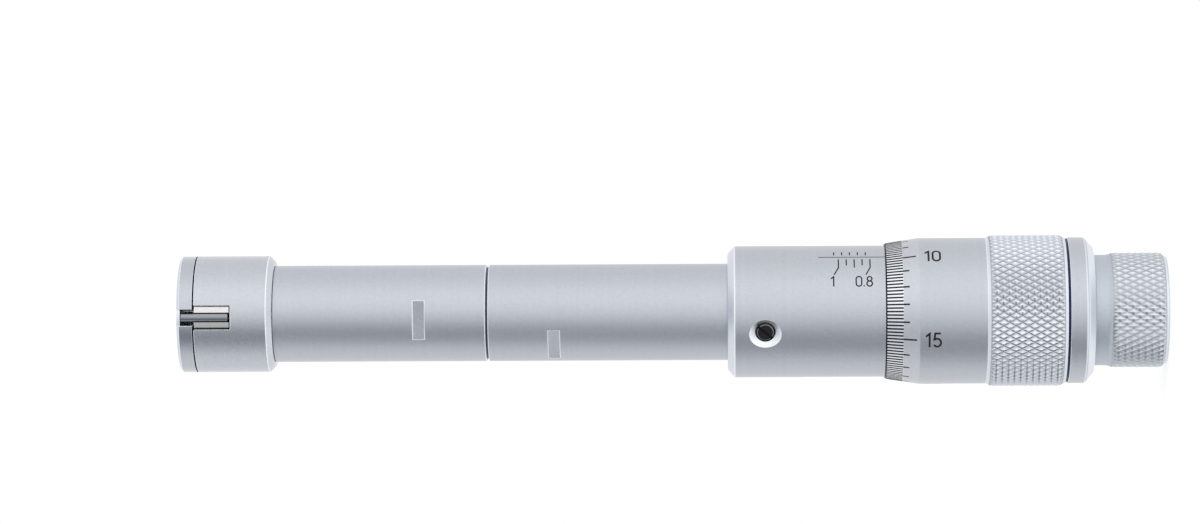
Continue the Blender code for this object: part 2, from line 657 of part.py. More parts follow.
def make_ratchet_discs():
    wheel_bore = RATCHET_SCREW_THREAD_RADIUS + BORE_GAP
    toothed_disc("ratchet_wheel", wheel_bore, RATCHET_WHEEL_TOP, RATCHET_WHEEL_BOTTOM, GROUND_STEEL)
    clutch_bore = RATCHET_SCREW_SHANK_RADIUS + RUN_GAP
    toothed_disc("ratchet_clutch", clutch_bore, RATCHET_CLUTCH_BOTTOM, RATCHET_CLUTCH_TOP, GROUND_STEEL)


def make_ratchet_spring():
    bottom = KNOB_FLOOR_TOP + SEAT_GAP
    coil(
        "ratchet_spring",
        RATCHET_SPRING_RADIUS,
        RATCHET_SPRING_WIRE,
        RATCHET_SPRING_TURNS,
        bottom,
        RATCHET_CLUTCH_BOTTOM - SEAT_GAP - bottom,
        SPRING_STEEL,
    )


def make_thimble_cap():
    bore_radius = SPINDLE_TAIL_RADIUS + BORE_GAP
    spigot_top = REAR_CAP_TOP + REAR_CAP_SPIGOT_LENGTH
    turned(
        "thimble_cap",
        [
            (bore_radius, spigot_top),
            (REAR_CAP_SPIGOT_RADIUS, spigot_top),
            (REAR_CAP_SPIGOT_RADIUS, REAR_CAP_TOP),
            (REAR_CAP_RADIUS, REAR_CAP_TOP),
            (REAR_CAP_RADIUS, REAR_CAP_BOTTOM + REAR_CAP_CHAMFER),
            (REAR_CAP_RADIUS - REAR_CAP_CHAMFER_DEPTH, REAR_CAP_BOTTOM),
            (bore_radius, REAR_CAP_BOTTOM),
        ],
        OUTER_FACETS,
        PARTS,
        SATIN_CHROME,
    )


def make_spacer_ring():
    inner_radius = REAR_CAP_SPIGOT_RADIUS + BORE_GAP
    turned(
        "spacer_ring",
        [
            (inner_radius, SPACER_TOP),
            (SPACER_RADIUS, SPACER_TOP),
            (SPACER_RADIUS, SPACER_BOTTOM),
            (inner_radius, SPACER_BOTTOM),
        ],
        INNER_FACETS,
        PARTS,
        DARK_RUBBER,
    )


def make_thimble():
    counterbore_radius = REAR_CAP_SPIGOT_RADIUS + BORE_GAP
    counterbore_top = REAR_CAP_TOP + REAR_CAP_SPIGOT_LENGTH + SEAT_GAP
    body_radius = GRIP_RADIUS - GRIP_KNURL_DEPTH - SEAT_GAP
    thimble = turned(
        "thimble",
        [
            (THIMBLE_BORE_RADIUS, THIMBLE_TOP),
            (THIMBLE_BORE_RADIUS + THIMBLE_EDGE_THICKNESS, THIMBLE_TOP),
            (THIMBLE_RADIUS, THIMBLE_BARREL_TOP),
            (THIMBLE_RADIUS, GRIP_TOP),
            (body_radius, GRIP_TOP - GRIP_CHAMFER / 2),
            (body_radius, THIMBLE_BOTTOM + GRIP_CHAMFER / 2),
            (THIMBLE_RADIUS, THIMBLE_BOTTOM),
            (counterbore_radius, THIMBLE_BOTTOM),
            (counterbore_radius, counterbore_top),
            (SPINDLE_TAPER_SMALL_RADIUS + BORE_GAP, counterbore_top),
            (SPINDLE_THREAD_RADIUS + BORE_GAP, THIMBLE_WEB_TOP),
            (THIMBLE_BORE_RADIUS, THIMBLE_WEB_TOP),
        ],
        OUTER_FACETS,
        PARTS,
        SATIN_CHROME,
    )
    add_knurl(
        thimble,
        THIMBLE_BOTTOM + GRIP_CHAMFER,
        GRIP_TOP - GRIP_CHAMFER,
        GRIP_RADIUS,
        GRIP_KNURL_DEPTH,
        GRIP_KNURL_TEETH,
        GRIP_KNURL_ROWS,
    )


def make_spindle():
    taper_bottom = REAR_CAP_TOP + REAR_CAP_SPIGOT_LENGTH + SEAT_GAP
    screw_hole_radius = RATCHET_SCREW_THREAD_RADIUS + BORE_GAP
    screw_hole_top = RATCHET_WHEEL_BOTTOM + RATCHET_SCREW_THREAD_LENGTH
    ball_seat_radius = BALL_RADIUS + RUN_GAP
    turned(
        "spindle",
        [
            (0, SPINDLE_TOP - BALL_SEAT_DEPTH),
            (ball_seat_radius, SPINDLE_TOP - BALL_SEAT_DEPTH),
            (ball_seat_radius, SPINDLE_TOP),
            (SPINDLE_NOSE_RADIUS, SPINDLE_TOP),
            (SPINDLE_NOSE_RADIUS, REAR_STEM_BOTTOM),
            (SPINDLE_THREAD_RADIUS, REAR_STEM_BOTTOM),
            (SPINDLE_THREAD_RADIUS, THIMBLE_WEB_TOP),
            (SPINDLE_TAPER_SMALL_RADIUS, taper_bottom),
            (SPINDLE_TAIL_RADIUS, taper_bottom),
            (SPINDLE_TAIL_RADIUS, SPINDLE_BOTTOM),
            (screw_hole_radius, SPINDLE_BOTTOM),
            (screw_hole_radius, screw_hole_top),
            (0, screw_hole_top),
        ],
        INNER_FACETS,
        PARTS,
        GROUND_STEEL,
    )


def make_sleeve():
    sleeve = turned(
        "sleeve",
        [
            (STEM_RADIUS + BORE_GAP, SLEEVE_TOP),
            (SLEEVE_RADIUS - SLEEVE_CHAMFER, SLEEVE_TOP),
            (SLEEVE_RADIUS, SLEEVE_TOP - SLEEVE_CHAMFER),
            (SLEEVE_RADIUS, SLEEVE_BOTTOM),
            (SLEEVE_BORE_RADIUS, SLEEVE_BOTTOM),
            (SLEEVE_BORE_RADIUS, SLEEVE_FLANGE_BOTTOM),
            (STEM_RADIUS + BORE_GAP, SLEEVE_FLANGE_BOTTOM),
        ],
        OUTER_FACETS,
        PARTS,
        SATIN_CHROME,
    )
    height = SLEEVE_TOP - SET_SCREW_SETBACK
    hole = rod_cutter(
        "set_screw_hole",
        SET_SCREW_RADIUS + BORE_GAP,
        along(SET_SCREW_ANGLE, SLEEVE_BORE_RADIUS - CUT_OVERRUN, height),
        along(SET_SCREW_ANGLE, SLEEVE_RADIUS + CUT_OVERRUN, height),
        SMALL_FACETS,
    )
    cut(sleeve, hole)
    sink = rod_cutter(
        "set_screw_countersink",
        SET_SCREW_SINK_RADIUS - CUT_OVERRUN,
        along(SET_SCREW_ANGLE, SLEEVE_RADIUS - CUT_OVERRUN, height),
        along(SET_SCREW_ANGLE, SLEEVE_RADIUS + CUT_OVERRUN, height),
        SMALL_FACETS,
        end_radius=SET_SCREW_SINK_RADIUS + CUT_OVERRUN,
    )
    cut(sleeve, sink)


def make_set_screw():
    height = SLEEVE_TOP - SET_SCREW_SETBACK
    face = SLEEVE_RADIUS - SET_SCREW_SUNK
    screw = turned(
        "set_screw",
        [
            (0, 0),
            (SET_SCREW_RADIUS, 0),
            (SET_SCREW_RADIUS, -SET_SCREW_LENGTH),
            (0, -SET_SCREW_LENGTH),
        ],
        SMALL_FACETS,
        PARTS,
        BLACK_OXIDE,
    )
    slot_size = (
        2 * SET_SCREW_RADIUS + 2 * CUT_OVERRUN,
        SET_SCREW_SLOT_WIDTH,
        2 * SET_SCREW_SLOT_DEPTH,
    )
    slot = box("set_screw_slot", slot_size, (0, 0, 0), SET_SCREW_SLOT_TILT)
    cut(screw, slot)
    stand = bpy.data.objects.new("set_screw_axis", None)
    PARTS.objects.link(stand)
    stand.location = along(SET_SCREW_ANGLE, face, height)
    stand.rotation_euler = (0, math.pi / 2, SET_SCREW_ANGLE)
    screw.parent = stand
    slot.parent = stand


def make_inner_sleeve():
    socket_radius = STEM_SPIGOT_RADIUS + BORE_GAP
    socket_bottom = INNER_SLEEVE_TOP - INNER_SLEEVE_SOCKET_DEPTH
    nut = turned(
        "inner_sleeve",
        [
            (socket_radius, INNER_SLEEVE_TOP),
            (INNER_SLEEVE_RADIUS, INNER_SLEEVE_TOP),
            (INNER_SLEEVE_RADIUS, SLEEVE_BOTTOM),
            (INNER_SLEEVE_THREAD_RADIUS, SLEEVE_BOTTOM),
            (INNER_SLEEVE_THREAD_RADIUS, INNER_SLEEVE_BOTTOM),
            (SPINDLE_BORE_RADIUS, INNER_SLEEVE_BOTTOM),
            (SPINDLE_BORE_RADIUS, socket_bottom),
            (socket_radius, socket_bottom),
        ],
        INNER_FACETS,
        PARTS,
        GROUND_STEEL,
    )
    slit_size = (
        INNER_SLEEVE_RADIUS + CUT_OVERRUN,
        INNER_SLEEVE_SLIT_WIDTH,
        INNER_SLEEVE_SLIT_LENGTH + CUT_OVERRUN,
    )
    slit_centre = (
        slit_size[0] / 2,
        0,
        INNER_SLEEVE_BOTTOM + (INNER_SLEEVE_SLIT_LENGTH - CUT_OVERRUN) / 2,
    )
    for i in range(INNER_SLEEVE_SLITS):
        turn = 2 * math.pi * i / INNER_SLEEVE_SLITS
        cut(nut, box(f"inner_sleeve_slit_{i + 1}", slit_size, slit_centre, turn))
    height = SLEEVE_TOP - SET_SCREW_SETBACK
    seat = SLEEVE_RADIUS - SET_SCREW_SUNK - SET_SCREW_LENGTH - SEAT_GAP
    hole = rod_cutter(
        "inner_sleeve_screw_hole",
        SET_SCREW_RADIUS + BORE_GAP,
        along(SET_SCREW_ANGLE, seat, height),
        along(SET_SCREW_ANGLE, SLEEVE_RADIUS + CUT_OVERRUN, height),
        SMALL_FACETS,
    )
    cut(nut, hole)


def make_adjusting_nut():
    bore_radius = INNER_SLEEVE_THREAD_RADIUS + BORE_GAP
    top = SLEEVE_BOTTOM - SEAT_GAP
    bottom = top - ADJUSTING_NUT_LENGTH
    nut = turned(
        "adjusting_nut",
        [
            (bore_radius, top),
            (ADJUSTING_NUT_RADIUS, top),
            (ADJUSTING_NUT_RADIUS, bottom),
            (bore_radius, bottom),
        ],
        INNER_FACETS,
        PARTS,
        NUT_BRASS,
    )
    slot_size = (
        ADJUSTING_NUT_RADIUS + CUT_OVERRUN,
        ADJUSTING_NUT_SLOT_WIDTH,
        ADJUSTING_NUT_SLOT_DEPTH + CUT_OVERRUN,
    )
    slot_centre = (slot_size[0] / 2, 0, bottom + (ADJUSTING_NUT_SLOT_DEPTH - CUT_OVERRUN) / 2)
    for i in range(ADJUSTING_NUT_SLOTS):
        turn = 2 * math.pi * (i + 0.5) / ADJUSTING_NUT_SLOTS
        cut(nut, box(f"adjusting_nut_slot_{i + 1}", slot_size, slot_centre, turn))


def cut_flats(stem, name, height, angle):
    """Cut a pair of short spanner flats, on opposite sides."""
    depth = STEM_RADIUS - FLAT_FROM_AXIS + CUT_OVERRUN
    size = (depth, 2 * STEM_RADIUS, FLAT_WIDTH)
    for i in range(2):
        centre = (FLAT_FROM_AXIS + depth / 2, 0, height)
        cut(stem, box(f"{name}_{i + 1}", size, centre, angle + math.pi * i))


def make_rear_stem():
    shoulder = SLEEVE_FLANGE_BOTTOM
    stem = turned(
        "rear_stem",
        [
            (STEM_JOINT_SOCKET_RADIUS, REAR_STEM_TOP),
            (STEM_RADIUS - STEM_JOINT_CHAMFER_DEPTH, REAR_STEM_TOP),
            (STEM_RADIUS, REAR_STEM_TOP - STEM_JOINT_CHAMFER),
            (STEM_RADIUS, shoulder),
            (STEM_SPIGOT_RADIUS, shoulder),
            (STEM_SPIGOT_RADIUS, REAR_STEM_BOTTOM),
            (STEM_CHAMBER_RADIUS, REAR_STEM_BOTTOM),
            (STEM_CHAMBER_RADIUS, STEM_CHAMBER_TOP),
            (ROD_BORE_RADIUS, STEM_CHAMBER_TOP),
            (ROD_BORE_RADIUS, STEM_SOCKET_BOTTOM),
            (STEM_JOINT_SOCKET_RADIUS, STEM_SOCKET_BOTTOM),
        ],
        OUTER_FACETS,
        PARTS,
        SATIN_CHROME,
    )
    cut_flats(stem, "rear_flat", REAR_STEM_TOP - REAR_FLAT_SETBACK, REAR_FLAT_ANGLE)


def make_front_stem():
    bottom = REAR_STEM_TOP + SEAT_GAP
    spigot_bottom = STEM_SOCKET_BOTTOM + SEAT_GAP
    head_shoulder = FRONT_STEM_TOP - SEAT_GAP
    stem = turned(
        "front_stem",
        [
            (ROD_BORE_RADIUS, HEAD_SOCKET_TOP - SEAT_GAP),
            (STEM_SPIGOT_RADIUS, HEAD_SOCKET_TOP - SEAT_GAP),
            (STEM_SPIGOT_RADIUS, head_shoulder),
            (STEM_RADIUS, head_shoulder),
            (STEM_RADIUS, bottom + STEM_JOINT_CHAMFER),
            (STEM_RADIUS - STEM_JOINT_CHAMFER_DEPTH, bottom),
            (STEM_JOINT_SPIGOT_RADIUS, bottom),
            (STEM_JOINT_SPIGOT_RADIUS, spigot_bottom),
            (ROD_BORE_RADIUS, spigot_bottom),
        ],
        OUTER_FACETS,
        PARTS,
        SATIN_CHROME,
    )
    cut_flats(stem, "front_flat", REAR_STEM_TOP + FRONT_FLAT_ADVANCE, FRONT_FLAT_ANGLE)


def make_ball():
    bpy.ops.mesh.primitive_uv_sphere_add(segments=SMALL_FACETS, ring_count=SMALL_FACETS // 2, radius=BALL_RADIUS)
    ball = bpy.context.object
    ball.name = "steel_ball"
    ball.location.z = BALL_CENTRE
    ball.data.materials.append(GROUND_STEEL)
    move_to(ball, PARTS)


def make_push_rods():
    seat_radius = BALL_RADIUS + RUN_GAP
    seat_top = REAR_ROD_BOTTOM + BALL_SEAT_DEPTH
    collar_top = REAR_ROD_BOTTOM + ROD_COLLAR_LENGTH
    rods_meet = REAR_STEM_TOP
    turned(
        "rear_push_rod",
        [
            (0, rods_meet),
            (ROD_RADIUS, rods_meet),
            (ROD_RADIUS, collar_top),
            (ROD_COLLAR_RADIUS, collar_top),
            (ROD_COLLAR_RADIUS, REAR_ROD_BOTTOM),
            (seat_radius, REAR_ROD_BOTTOM),
            (seat_radius, seat_top),
            (0, seat_top),
        ],
        SMALL_FACETS,
        PARTS,
        GROUND_STEEL,
    )
    front_top = CONE_BOTTOM + CONE_ROD_SOCKET_DEPTH - SEAT_GAP
    front_bottom = rods_meet + SEAT_GAP
    turned(
        "front_push_rod",
        [
            (0, front_top),
            (ROD_RADIUS, front_top),
            (ROD_RADIUS, front_bottom),
            (0, front_bottom),
        ],
        SMALL_FACETS,
        PARTS,
        GROUND_STEEL,
    )


def make_return_spring():
    coil(
        "return_spring",
        RETURN_SPRING_RADIUS,
        RETURN_SPRING_WIRE,
        RETURN_SPRING_TURNS,
        RETURN_SPRING_BOTTOM,
        RETURN_SPRING_LENGTH,
        SPRING_STEEL,
    )


def make_cone():
    socket_radius = ROD_RADIUS + BORE_GAP
    socket_top = CONE_BOTTOM + CONE_ROD_SOCKET_DEPTH
    turned(
        "cone",
        [
            (0, CONE_TOP),
            (CONE_NOSE_RADIUS, CONE_TOP),
            (CONE_RADIUS, CONE_TOP - CONE_TAPER_LENGTH),
            (CONE_RADIUS, CONE_BOTTOM),
            (socket_radius, CONE_BOTTOM),
            (socket_radius, socket_top),
            (0, socket_top),
        ],
        INNER_FACETS,
        PARTS,
        GROUND_STEEL,
    )


def make_head_body():
    socket_radius = STEM_SPIGOT_RADIUS + BORE_GAP
    head = turned(
        "head_body",
        [
            (CONE_BORE_RADIUS, HEAD_BODY_TOP),
            (HEAD_RADIUS, HEAD_BODY_TOP),
            (HEAD_RADIUS, HEAD_BOTTOM + HEAD_REAR_CHAMFER),
            (HEAD_RADIUS - HEAD_REAR_CHAMFER, HEAD_BOTTOM),
            (socket_radius, HEAD_BOTTOM),
            (socket_radius, HEAD_SOCKET_TOP),
            (CONE_BORE_RADIUS, HEAD_SOCKET_TOP),
        ],
        OUTER_FACETS,
        PARTS,
        SATIN_CHROME,
    )
    half_width = HEAD_BODY_SLOT_WIDTH / 2
    mouth = half_width + HEAD_BODY_SLOT_CORNER
    corner = HEAD_BODY_TOP - HEAD_BODY_SLOT_CORNER
    above = HEAD_BODY_TOP + CUT_OVERRUN
    slot_outline = [
        (-half_width, HEAD_SLOT_BOTTOM),
        (half_width, HEAD_SLOT_BOTTOM),
        (half_width, corner),
        (mouth, HEAD_BODY_TOP),
        (mouth, above),
        (-mouth, above),
        (-mouth, HEAD_BODY_TOP),
        (-half_width, corner),
    ]
    depth = HEAD_RADIUS + CUT_OVERRUN
    outward = Matrix.Translation((depth / 2, 0, 0)) @ FACE_ON
    for i in range(ANVIL_COUNT):
        slot = flat_piece(f"head_slot_{i + 1}", slot_outline, depth, outward, CUTTERS)
        slot.rotation_euler.z = anvil_angle(i)
        cut(head, slot)
        cut(head, cap_screw_hole(f"head_screw_hole_{i + 1}", i))
        cut(head, spring_anchor_hole(f"spring_anchor_hole_{i + 1}", i))


def cap_screw_place(index):
    """The angle of a cap screw, half-way between two anvils."""
    return anvil_angle(index) + math.pi / ANVIL_COUNT


def cap_screw_hole(name, index):
    angle = cap_screw_place(index)
    bottom = HEAD_CAP_TOP - CAP_SCREW_LENGTH - SEAT_GAP
    return rod_cutter(
        name,
        CAP_SCREW_SHANK_RADIUS + BORE_GAP,
        along(angle, CAP_SCREW_CIRCLE_RADIUS, bottom),
        along(angle, CAP_SCREW_CIRCLE_RADIUS, HEAD_CAP_TOP + CUT_OVERRUN),
        SMALL_FACETS,
    )


def spring_anchor_hole(name, index):
    """The hole in the side of an anvil's slot that takes the end of its wire spring."""
    turn = Matrix.Rotation(anvil_angle(index), 4, "Z")
    height = ANVIL_BOTTOM + ANVIL_SPRING_ANCHOR_ADVANCE
    start = HEAD_BODY_SLOT_WIDTH / 2 - ANVIL_SPRING_WIRE
    end = HEAD_BODY_SLOT_WIDTH / 2 + ANVIL_SPRING_ANCHOR_DEPTH
    return rod_cutter(
        name,
        ANVIL_SPRING_WIRE / 2 + BORE_GAP,
        turn @ Vector((ANVIL_SPRING_ANCHOR_RADIUS, start, height)),
        turn @ Vector((ANVIL_SPRING_ANCHOR_RADIUS, end, height)),
        SMALL_FACETS,
    )


def make_front_cap():
    cap = turned(
        "front_cap",
        [
            (0, HEAD_CAP_TOP),
            (HEAD_RADIUS - HEAD_CAP_FRONT_CHAMFER, HEAD_CAP_TOP),
            (HEAD_RADIUS, HEAD_CAP_TOP - HEAD_CAP_FRONT_CHAMFER),
            (HEAD_RADIUS, HEAD_CAP_BOTTOM + HEAD_CAP_REAR_CHAMFER),
            (HEAD_RADIUS - HEAD_CAP_REAR_CHAMFER, HEAD_CAP_BOTTOM),
            (CONE_BORE_RADIUS, HEAD_CAP_BOTTOM),
            (CONE_BORE_RADIUS, HEAD_CAP_WALL_BOTTOM),
            (0, HEAD_CAP_WALL_BOTTOM),
        ],
        OUTER_FACETS,
        PARTS,
        SATIN_CHROME,
    )
    lip_radius = HEAD_RADIUS - HEAD_CAP_LIP_SUNK
    slot_top = HEAD_CAP_WALL_BOTTOM + SEAT_GAP
    slot_outline = [
        (0, HEAD_CAP_BOTTOM - CUT_OVERRUN),
        (HEAD_RADIUS + CUT_OVERRUN, HEAD_CAP_BOTTOM - CUT_OVERRUN),
        (HEAD_RADIUS + CUT_OVERRUN, HEAD_CAP_TOP + CUT_OVERRUN),
        (lip_radius, HEAD_CAP_TOP + CUT_OVERRUN),
        (lip_radius, slot_top),
        (0, slot_top),
    ]
    for i in range(ANVIL_COUNT):
        slot = flat_piece(f"cap_slot_{i + 1}", slot_outline, HEAD_CAP_SLOT_WIDTH, SIDE_ON, CUTTERS)
        slot.rotation_euler.z = anvil_angle(i)
        cut(cap, slot)
        cut(cap, cap_screw_hole(f"cap_screw_hole_{i + 1}", i))
        angle = cap_screw_place(i)
        sink = rod_cutter(
            f"cap_screw_sink_{i + 1}",
            CAP_SCREW_SHANK_RADIUS + BORE_GAP,
            along(angle, CAP_SCREW_CIRCLE_RADIUS, HEAD_CAP_TOP - sink_depth() - BORE_GAP),
            along(angle, CAP_SCREW_CIRCLE_RADIUS, HEAD_CAP_TOP + BORE_GAP),
            SMALL_FACETS,
            end_radius=CAP_SCREW_HEAD_RADIUS + 2 * BORE_GAP,
        )
        cut(cap, sink)


def sink_depth():
    """The depth of a cap screw's right-angled countersunk head."""
    return CAP_SCREW_HEAD_RADIUS - CAP_SCREW_SHANK_RADIUS


def make_cap_screws():
    blank = turned(
        "cap_screw_blank",
        [
            (0, -SEAT_GAP),
            (CAP_SCREW_HEAD_RADIUS - SEAT_GAP, -SEAT_GAP),
            (CAP_SCREW_SHANK_RADIUS, -sink_depth()),
            (CAP_SCREW_SHANK_RADIUS, -CAP_SCREW_LENGTH),
            (0, -CAP_SCREW_LENGTH),
        ],
        SMALL_FACETS,
        PARTS,
        GROUND_STEEL,
    )
    slot_size = (
        2 * CAP_SCREW_HEAD_RADIUS + 2 * CUT_OVERRUN,
        CAP_SCREW_SLOT_WIDTH,
        2 * CAP_SCREW_SLOT_DEPTH,
    )
    cut(blank, box("cap_screw_slot", slot_size, (0, 0, 0), 0))
    mesh = evaluated_mesh(blank)
    bpy.data.objects.remove(blank)
    for i in range(ANVIL_COUNT):
        screw = add_object(f"cap_screw_{i + 1}", mesh, PARTS)
        screw.location = along(cap_screw_place(i), CAP_SCREW_CIRCLE_RADIUS, HEAD_CAP_TOP)
        screw.rotation_euler.z = cap_screw_place(i)


def anvil_blank():
    """One anvil, pointing along +X: a broad block and a thin blade, both sloped to ride on the cone."""
    middle = (ANVIL_BOTTOM + ANVIL_BLOCK_TOP) / 2
    blade_out = ANVIL_REACH - ANVIL_TIP_HEIGHT - SEAT_GAP
    block_outline = [
        (ramp_radius(ANVIL_BOTTOM), ANVIL_BOTTOM),
        (ANVIL_SHOULDER + CUT_OVERRUN, ANVIL_BOTTOM),
        (ANVIL_SHOULDER + CUT_OVERRUN, ANVIL_BLOCK_TOP),
        (ramp_radius(ANVIL_BLOCK_TOP), ANVIL_BLOCK_TOP),
    ]
    anvil = flat_piece("anvil_blank", block_outline, ANVIL_WIDTH, SIDE_ON, PARTS, GROUND_STEEL)
    crown_outline = crown(ANVIL_WIDTH / 2 + CUT_OVERRUN, ANVIL_SHOULDER, ANVIL_CROWN_RADIUS)
    crown_outline.append((ANVIL_WIDTH / 2 + CUT_OVERRUN, -CUT_OVERRUN))
    crown_outline.append((-ANVIL_WIDTH / 2 - CUT_OVERRUN, -CUT_OVERRUN))
    long_enough = HEAD_BODY_LENGTH + HEAD_CAP_LENGTH
    place = Matrix.Translation((0, 0, middle)) @ END_ON
    cut(anvil, flat_piece("anvil_crown", crown_outline, long_enough, place, CUTTERS), "INTERSECT")
    groove_size = (
        ANVIL_TIP_HEIGHT + SEAT_GAP + CUT_OVERRUN,
        ANVIL_BLADE_WIDTH + 2 * SEAT_GAP,
        long_enough,
    )
    groove_centre = (blade_out + groove_size[0] / 2, 0, middle)
    cut(anvil, box("anvil_tip_groove", groove_size, groove_centre, 0))
    blade_outline = [
        (ramp_radius(ANVIL_BOTTOM), ANVIL_BOTTOM),
        (blade_out, ANVIL_BOTTOM),
        (blade_out, ANVIL_BLADE_TOP),
        (ramp_radius(ANVIL_BLADE_TOP), ANVIL_BLADE_TOP),
    ]
    blade = flat_piece("anvil_blade", blade_outline, ANVIL_BLADE_WIDTH, SIDE_ON, CUTTERS)
    cut(anvil, blade, "UNION")
    cut(anvil, spring_pocket())
    pin_height = ANVIL_BLOCK_TOP - ANVIL_SPRING_PIN_SETBACK
    floor = ANVIL_WIDTH / 2 - ANVIL_SPRING_POCKET_DEPTH
    pin_hole = rod_cutter(
        "anvil_spring_pin_hole",
        ANVIL_SPRING_WIRE / 2 + BORE_GAP,
        (ANVIL_SPRING_PIN_RADIUS, floor - ANVIL_SPRING_PIN_DEPTH - BORE_GAP, pin_height),
        (ANVIL_SPRING_PIN_RADIUS, ANVIL_WIDTH / 2 + CUT_OVERRUN, pin_height),
        SMALL_FACETS,
    )
    cut(anvil, pin_hole)
    return anvil


def spring_pocket():
    """The wedge-shaped hollow in the anvil's side, as wide as the spring's leg swings."""
    room = ANVIL_SPRING_WIRE
    anchor = ANVIL_BOTTOM + ANVIL_SPRING_ANCHOR_ADVANCE
    pin = ANVIL_BLOCK_TOP - ANVIL_SPRING_PIN_SETBACK
    outline = [
        (ANVIL_SPRING_ANCHOR_RADIUS + room, ANVIL_BOTTOM - CUT_OVERRUN),
        (ANVIL_SPRING_ANCHOR_RADIUS + room, anchor + room),
        (ANVIL_SPRING_PIN_RADIUS + room, pin + room),
        (ANVIL_SPRING_PIN_RADIUS - room, pin + room),
        (ANVIL_SPRING_ANCHOR_RADIUS - ANVIL_TRAVEL - room, anchor),
        (ANVIL_SPRING_ANCHOR_RADIUS - ANVIL_TRAVEL - room, ANVIL_BOTTOM - CUT_OVERRUN),
    ]
    depth = ANVIL_SPRING_POCKET_DEPTH + CUT_OVERRUN
    centre = ANVIL_WIDTH / 2 - ANVIL_SPRING_POCKET_DEPTH + depth / 2
    place = Matrix.Translation((0, centre, 0)) @ SIDE_ON
    return flat_piece("anvil_spring_pocket", outline, depth, place, CUTTERS)


def make_anvils():
    blank = anvil_blank()
    anvil_mesh = evaluated_mesh(blank)
    bpy.data.objects.remove(blank)
    tip_outline = crown(ANVIL_BLADE_WIDTH / 2, ANVIL_REACH, ANVIL_TIP_CROWN_RADIUS)
    tip_foot = ANVIL_REACH - ANVIL_TIP_HEIGHT
    tip_outline.append((ANVIL_BLADE_WIDTH / 2, tip_foot))
    tip_outline.append((-ANVIL_BLADE_WIDTH / 2, tip_foot))
    tip_length = ANVIL_BLADE_TOP - ANVIL_BOTTOM
    place = Matrix.Translation((0, 0, ANVIL_BOTTOM + tip_length / 2)) @ END_ON
    tip_blank = flat_piece("anvil_tip_blank", tip_outline, tip_length, place, PARTS, CARBIDE)
    tip_mesh = tip_blank.data
    bpy.data.objects.remove(tip_blank)
    for i in range(ANVIL_COUNT):
        for name, mesh in (("anvil", anvil_mesh), ("anvil_tip", tip_mesh)):
            piece = add_object(f"{name}_{i + 1}", mesh, PARTS)
            piece.rotation_euler.z = anvil_angle(i)


def make_anvil_springs():
    anchor_height = ANVIL_BOTTOM + ANVIL_SPRING_ANCHOR_ADVANCE
    pin_height = ANVIL_BLOCK_TOP - ANVIL_SPRING_PIN_SETBACK
    pocket_floor = ANVIL_WIDTH / 2 - ANVIL_SPRING_POCKET_DEPTH
    leg = (pocket_floor + HEAD_BODY_SLOT_WIDTH / 2) / 2
    anchor_end = HEAD_BODY_SLOT_WIDTH / 2 + ANVIL_SPRING_ANCHOR_DEPTH - BORE_GAP
    points = [
        (ANVIL_SPRING_ANCHOR_RADIUS, anchor_end, anchor_height),
        (ANVIL_SPRING_ANCHOR_RADIUS, leg, anchor_height),
        (ANVIL_SPRING_PIN_RADIUS, leg, pin_height),
        (ANVIL_SPRING_PIN_RADIUS, pocket_floor - ANVIL_SPRING_PIN_DEPTH, pin_height),
    ]
    for i in range(ANVIL_COUNT):
        spring = wire(f"anvil_spring_{i + 1}", points, ANVIL_SPRING_WIRE, SPRING_STEEL)
        spring.rotation_euler.z = anvil_angle(i)


make_ratchet_knob()
make_ratchet_screw()
make_ratchet_discs()
make_ratchet_spring()
make_thimble_cap()
make_spacer_ring()
make_thimble()
make_spindle()
make_sleeve()
make_set_screw()
make_inner_sleeve()
make_adjusting_nut()
make_rear_stem()
make_front_stem()
make_ball()
make_push_rods()
make_return_spring()
make_cone()
make_head_body()
make_front_cap()
make_cap_screws()
make_anvils()
make_anvil_springs()
shade_pieces()
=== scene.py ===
import math

import bmesh
import bpy
import numpy as np
from mathutils import Matrix, Vector


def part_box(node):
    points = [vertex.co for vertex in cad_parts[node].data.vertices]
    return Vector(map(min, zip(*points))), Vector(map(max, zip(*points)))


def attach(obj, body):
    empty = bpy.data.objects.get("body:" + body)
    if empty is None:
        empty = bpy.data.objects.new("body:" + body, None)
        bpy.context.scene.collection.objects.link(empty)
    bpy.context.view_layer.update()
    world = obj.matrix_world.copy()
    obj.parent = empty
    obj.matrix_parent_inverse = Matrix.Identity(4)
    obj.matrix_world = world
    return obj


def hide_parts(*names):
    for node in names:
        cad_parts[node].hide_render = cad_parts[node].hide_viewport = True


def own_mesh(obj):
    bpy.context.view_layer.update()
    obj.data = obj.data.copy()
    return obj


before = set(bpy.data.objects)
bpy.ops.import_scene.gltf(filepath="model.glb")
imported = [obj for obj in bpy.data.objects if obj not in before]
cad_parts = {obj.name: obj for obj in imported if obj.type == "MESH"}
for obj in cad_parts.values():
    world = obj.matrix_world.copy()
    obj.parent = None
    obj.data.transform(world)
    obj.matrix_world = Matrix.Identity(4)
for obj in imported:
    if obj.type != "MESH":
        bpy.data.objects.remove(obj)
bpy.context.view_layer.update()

MM = 0.001
DEGREE = math.pi / 180

# The camera stands square on to the instrument and is turned on its side, so that the instrument,
# which stands on its ratchet knob, lies in the picture with the measuring head at the left.
CAMERA_PLACE = Vector((0, -0.81, 0.0705))
CAMERA_AIM = Vector((0.00818, 0, 0.09148))
CAMERA_LENS = 149.81
CAMERA_ROLL = 0.271 * DEGREE

